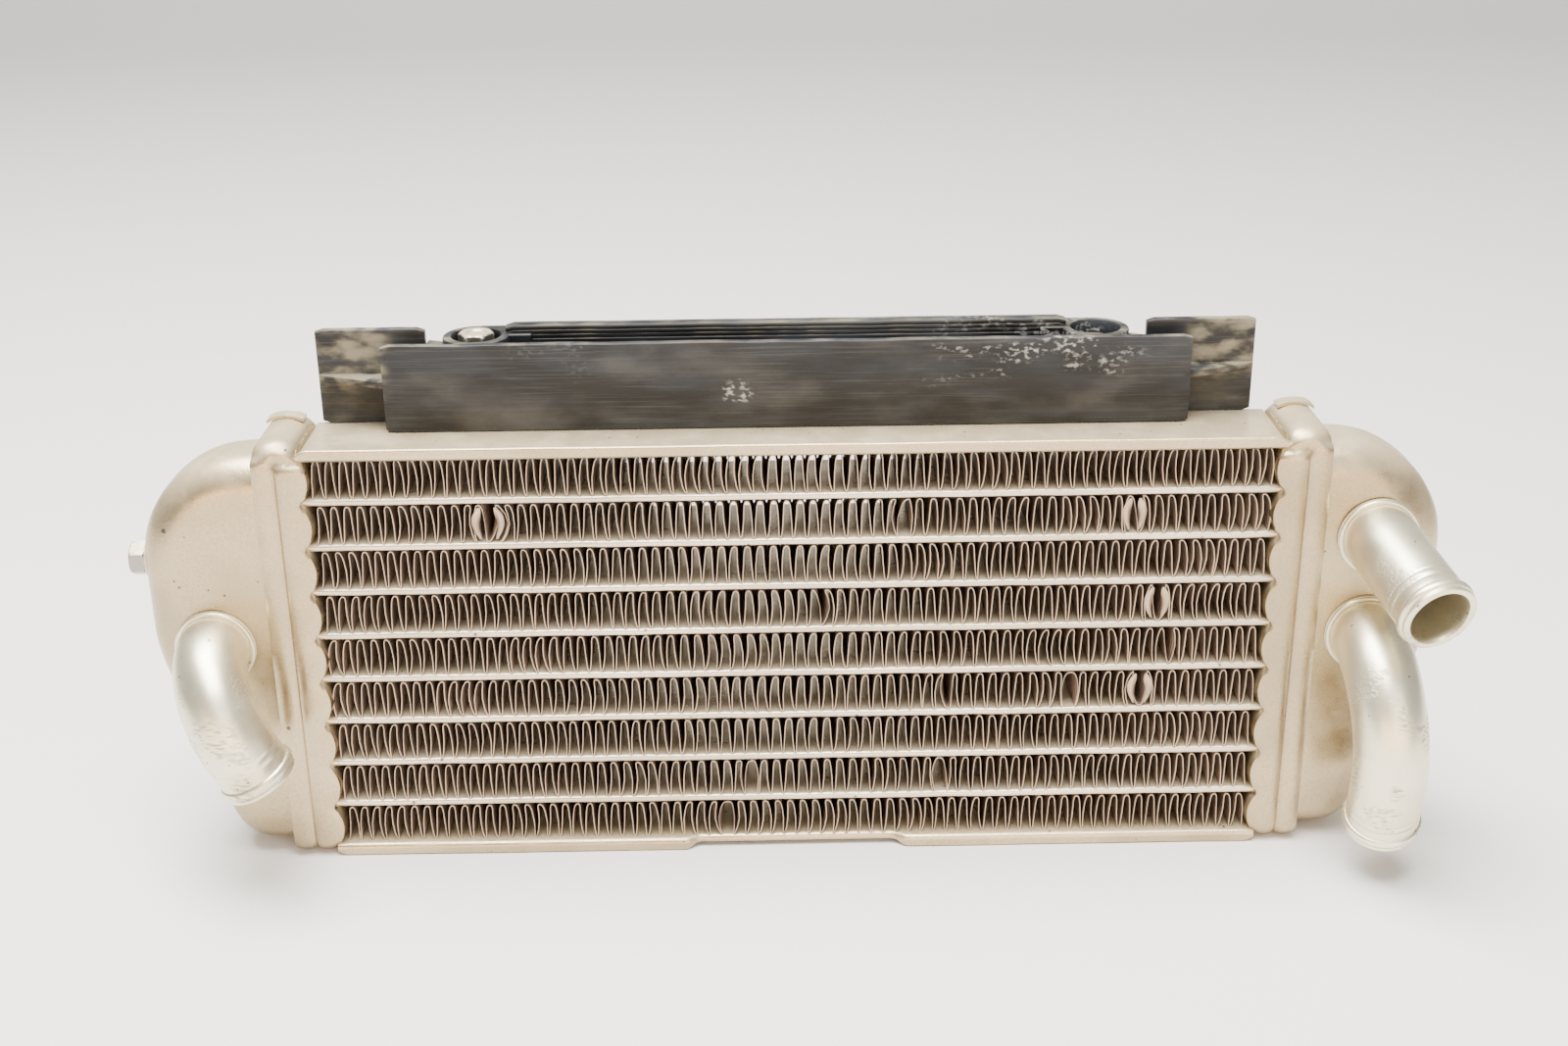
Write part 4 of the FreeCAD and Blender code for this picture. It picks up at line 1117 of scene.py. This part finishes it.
class RADIATOR_OT_carrier(bpy.types.Operator):
    """Build the plastic side carrier: two rails, end flaps, shelf and screw eyes"""

    bl_idname = "radiator.carrier"
    bl_label = "Side carrier"

    def wall(self, name, low, high, edge, wave=0.0, ribs=0):
        """An upright wall that runs along the tubes, with rounded and slightly wavy edges."""
        middle = ((low[1] + high[1]) / 2, (low[2] + high[2]) / 2)
        half = ((high[1] - low[1]) / 2, (high[2] - low[2]) / 2)
        section = self.section(*half, edge, ribs)
        count = max(2, round((high[0] - low[0]) / 2.0))
        rings = []
        for step in range(count + 1):
            x = low[0] + (high[0] - low[0]) * step / count
            inside = min(x - low[0], high[0] - x)
            ease = edge * (1 - math.sqrt(max(0.0, 1 - (1 - min(inside / edge, 1.0)) ** 2)))
            ring = []
            for y, z in section:
                drop = wave * (0.5 - 0.5 * ripple(x, 3, half[1], 9.0)) if z > half[1] * 0.8 else 0.0
                sink = 0.12 * math.exp(-((z - half[1] * 0.15) / 1.5) ** 2) if half[1] > 8 else 0.0
                depth = y - math.copysign(ease * 0.5 + sink, y)
                height = z - math.copysign(ease, z) - drop
                ring.append((x, middle[0] + depth, middle[1] + height))
            rings.append(ring)
        points, faces = tube_mesh(rings)
        return close_up(new_piece(name, points, faces, finish_of("black_plastic"), 40))

    def section(self, half_y, half_z, edge, ribs):
        rounds = []
        for y, z, first in ((1, 1, 0), (-1, 1, 90), (-1, -1, 180), (1, -1, 270)):
            centre = (y * (half_y - edge), z * (half_z - edge))
            rounds.append(arc_points(centre, edge, first, first + 90, 4))
        front = []
        steps = max(3, round(2 * half_z / 1.6))
        for step in range(1, steps):
            front.append((-half_y, half_z - edge - 2 * (half_z - edge) * step / steps))
        for rib in range(ribs):
            level = half_z - 1.1 - rib * 1.15
            front = [spot for spot in front if abs(spot[1] - level) > 0.7]
            front += [(-half_y, level + 0.3), (-half_y + 0.35, level), (-half_y, level - 0.3)]
        front.sort(key=lambda spot: -spot[1])
        return rounds[0] + rounds[1] + front + rounds[2] + rounds[3]

    def plate(self, name, corners, radii, low, high, edge):
        """A flat plate with rounded corners and edges, from its outline seen from above."""
        run = rounded_run([corners[-1], *corners, corners[0]], [radii] * len(corners), 5)[1:-1]
        count = len(run)
        rings = []
        for inset, level in ((edge, low), (0.0, low + edge), (0.0, high - edge), (edge, high)):
            ring = []
            for index, spot in enumerate(run):
                before, after = run[index - 1], run[(index + 1) % count]
                along = Vector((after[0] - before[0], after[1] - before[1])).normalized()
                ring.append((spot[0] - along.y * inset, spot[1] + along.x * inset, level))
            rings.append(ring)
        return close_up(new_piece(name, *tube_mesh(rings), finish_of("black_plastic"), 40))

    def eye(self, centre, sign, base):
        """The round eye, its lug to the rear rail and its neck to the shelf."""
        low, high, edge = base + EYE_LOW, base + EYE_TOP, SMALL_EDGE
        profile = ((0.0, EYE_RADIUS - edge), (edge, EYE_RADIUS), (12.5, EYE_RADIUS),
                   (12.85, EYE_RADIUS - 0.15), (13.0, EYE_RADIUS - 0.45))
        rings = around((*centre, low), (0, 0, 1), profile, EYE_STEPS)
        yield new_piece("eye", *tube_mesh(rings), finish_of("black_plastic"), 40)
        near, far = sorted((centre[0], centre[0] - sign * EYE_LUG))
        back = EYE_BACK + EYE_RADIUS
        yield self.plate("lug", [(near, EYE_BACK), (far, EYE_BACK), (far, back), (near, back)], 0.8,
                         low, high, edge)
        near, far = sorted((centre[0] + sign * 3, centre[0] + sign * 12.5))
        yield self.plate("neck", [(near, 12.6), (far, 12.6), (far, 14.2), (near, 18.4)], 0.6,
                         low + 2, high - 1.6, edge)

    def execute(self, context):
        s = sizes(context)
        low, high = node_box("side_carrier")
        shift, base, edge = CARRIER_MIDDLE, low.z, s["edge"]
        parts = [
            self.wall("rail", (shift - RAIL_HALF, low.y, base),
                      (shift + RAIL_HALF, low.y + s["rail"], base + RAIL_TALL), edge, 0.35),
            self.wall("rear", (shift - REAR_HALF, REAR_FRONT, base),
                      (shift + REAR_HALF, REAR_BACK, base + REAR_TALL), edge, 0.15, 3)]
        for sign in (-1, 1):
            start, end = sorted((shift + sign * FLAP_INNER, shift + sign * FLAP_OUTER))
            parts.append(self.wall("flap", (start, FLAP_FRONT, base), (end, FLAP_BACK, high.z),
                                   edge, 0.3))
        shelf = [(-RAIL_HALF, SHELF_FRONT), (RAIL_HALF, SHELF_FRONT), (FLAP_OUTER, FLAP_FRONT),
                 (FLAP_OUTER, FLAP_BACK), (FLAP_INNER, FLAP_BACK), (EYE_ACROSS, SHELF_BACK),
                 (-EYE_ACROSS, SHELF_BACK), (-FLAP_INNER, FLAP_BACK), (-FLAP_OUTER, FLAP_BACK),
                 (-FLAP_OUTER, FLAP_FRONT)]
        parts.append(self.plate("shelf", [(shift + x, y) for x, y in shelf], 0.4,
                                base + SHELF_LOW, base + SHELF_HIGH, SMALL_EDGE))
        cutters = []
        profile = ((-1.0, BOLT_HOLE), (RECESS_LEVEL, BOLT_HOLE), (RECESS_LEVEL + 0.01, RECESS_RADIUS),
                   (12.6, RECESS_RADIUS), (13.4, 6.7), (14.0, 6.9))
        for sign in (-1, 1):
            centre = (shift + sign * EYE_ACROSS, EYE_BACK)
            parts.extend(self.eye(centre, sign, base))
            rings = around((*centre, base + EYE_LOW), (0, 0, 1), profile, EYE_STEPS)
            cutters.append(new_piece("hole", *tube_mesh(rings), None))
        body = parts[0]
        body.name = "carrier_body"
        cut_out(body, parts[1:], "UNION")
        cut_out(body, cutters)
        shade(body, 40)
        hand_over(body, ["side_carrier"], "black_plastic")
        return {"FINISHED"}


class RADIATOR_OT_fixings(bpy.types.Operator):
    """Build the hexagon screw that holds the carrier's left eye"""

    bl_idname = "radiator.fixings"
    bl_label = "Fixings"

    def execute(self, context):
        low, high = node_box("carrier_bolt")
        top = HEAD_THICK
        seat = ((low.x + high.x) / 2, (low.y + high.y) / 2, high.z - top)
        profile = ((0.0, THREAD_RADIUS), (0.0, 4.1), (0.3, HEAD_CORNER), (top - 0.7, HEAD_CORNER),
                   (top - 0.3, 4.25), (top, 3.8), (top - 0.15, 2.8), (top - 0.55, 2.3),
                   (top - 0.6, 0.2))
        hexagon_screw("carrier_screw", "carrier_bolt", seat, (0, 0, 1), profile, math.radians(45))
        return {"FINISHED"}


# Name, place in metres, the spot it looks at, width and height, watts and colour.
LIGHTS = (("softbox_over", (-0.15, -0.1, 1.1), (0, 0, 0.05), (1.1, 0.65), 58, (1.0, 0.985, 0.96)),
          ("softbox_front", (0.5, -1.3, 0.75), (0, 0, 0.06), (1.0, 0.8), 9, (1.0, 0.97, 0.93)),
          ("warm_low_fill", (0.0, -1.25, 0.2), (0, 0, 0.03), (2.0, 0.35), 14, (1.0, 0.68, 0.38)))
AIR_COLOUR, AIR_STRENGTH = (1.0, 0.985, 0.955, 1.0), 0.6
# The camera's place in metres, then its heading, dip and roll in degrees.
CAMERA_SPOT, CAMERA_TURN = (-0.0063, -0.45785, 0.2734), (0.51, 22.19, 0.65)


def area_light(name, spot, target, size, power, colour):
    lamp = bpy.data.lights.new(name, "AREA")
    lamp.shape = "RECTANGLE"
    lamp.size, lamp.size_y = size
    lamp.energy = power
    lamp.color = colour
    item = bpy.data.objects.new(name, lamp)
    item.location = spot
    item.rotation_euler = (Vector(target) - Vector(spot)).to_track_quat("-Z", "Y").to_euler()
    bpy.context.scene.collection.objects.link(item)


class RADIATOR_OT_stage(bpy.types.Operator):
    """Build the pale floor with its curved backdrop, the lights and the camera"""

    bl_idname = "radiator.stage"
    bl_label = "Stage"

    def execute(self, context):
        colour = tuple(context.scene.radiator_colours.floor)
        section = [(-3000.0, 0.0)] + arc_points((1400.0, 700.0), 700.0, 270, 360, 16)
        section.append((2100.0, 3000.0))
        points = [(x, y, z) for y, z in section for x in (-3500.0, 3500.0)]
        sweep = new_piece("floor_sweep", points, strip_faces(len(section), 2),
                          plain_stage("floor_paint", colour))
        for light in LIGHTS:
            area_light(*light)
        world = bpy.data.worlds.new("studio_air")
        world.use_nodes = True
        air = world.node_tree.nodes["Background"]
        air.inputs["Color"].default_value = AIR_COLOUR
        air.inputs["Strength"].default_value = AIR_STRENGTH
        context.scene.world = world
        self.camera(context)
        return {"FINISHED"}

    def camera(self, context):
        yaw, pitch, roll = (math.radians(a) for a in CAMERA_TURN)
        ahead = Vector((math.sin(yaw) * math.cos(pitch), math.cos(yaw) * math.cos(pitch),
                        -math.sin(pitch)))
        right = Vector((math.cos(yaw), -math.sin(yaw), 0))
        down = ahead.cross(right)
        across = right * math.cos(roll) + down * math.sin(roll)
        up = right * math.sin(roll) - down * math.cos(roll)
        lens = bpy.data.cameras.new("view")
        lens.lens = 45.0
        lens.sensor_width = 36.0
        lens.clip_start = 0.01
        item = bpy.data.objects.new("view", lens)
        turn = Matrix((across, up, -ahead)).transposed().to_4x4()
        item.matrix_world = Matrix.Translation(CAMERA_SPOT) @ turn
        context.scene.collection.objects.link(item)
        context.scene.camera = item


# ---- panel and registration -----------------------------------------------------------------

OPERATORS = (RADIATOR_OT_finishes, RADIATOR_OT_tubes, RADIATOR_OT_fins, RADIATOR_OT_side_plates,
             RADIATOR_OT_headers, RADIATOR_OT_tanks, RADIATOR_OT_pipes, RADIATOR_OT_bleed,
             RADIATOR_OT_carrier, RADIATOR_OT_fixings, RADIATOR_OT_stage)


class RADIATOR_PT_panel(bpy.types.Panel):
    """Buttons for every piece, with the sizes and colours that they use"""

    bl_idname = "RADIATOR_PT_panel"
    bl_label = "Radiator"
    bl_space_type = "VIEW_3D"
    bl_region_type = "UI"
    bl_category = "Radiator"

    def draw(self, context):
        for operator in OPERATORS:
            self.layout.operator(operator.bl_idname)
        for group in (context.scene.radiator_sizes, context.scene.radiator_colours):
            box = self.layout.box()
            for key in type(group).__annotations__:
                box.prop(group, key)


CLASSES = (RadiatorSizes, RadiatorColours, *OPERATORS, RADIATOR_PT_panel)


def register():
    for entry in CLASSES:
        bpy.utils.register_class(entry)
    bpy.types.Scene.radiator_sizes = bpy.props.PointerProperty(type=RadiatorSizes)
    bpy.types.Scene.radiator_colours = bpy.props.PointerProperty(type=RadiatorColours)


def unregister():
    del bpy.types.Scene.radiator_colours
    del bpy.types.Scene.radiator_sizes
    for entry in reversed(CLASSES):
        bpy.utils.unregister_class(entry)


def main():
    register()
    for operator in OPERATORS:
        group, name = operator.bl_idname.split(".")
        getattr(getattr(bpy.ops, group), name)()
    bpy.context.view_layer.update()


if __name__ == "__main__":
    main()
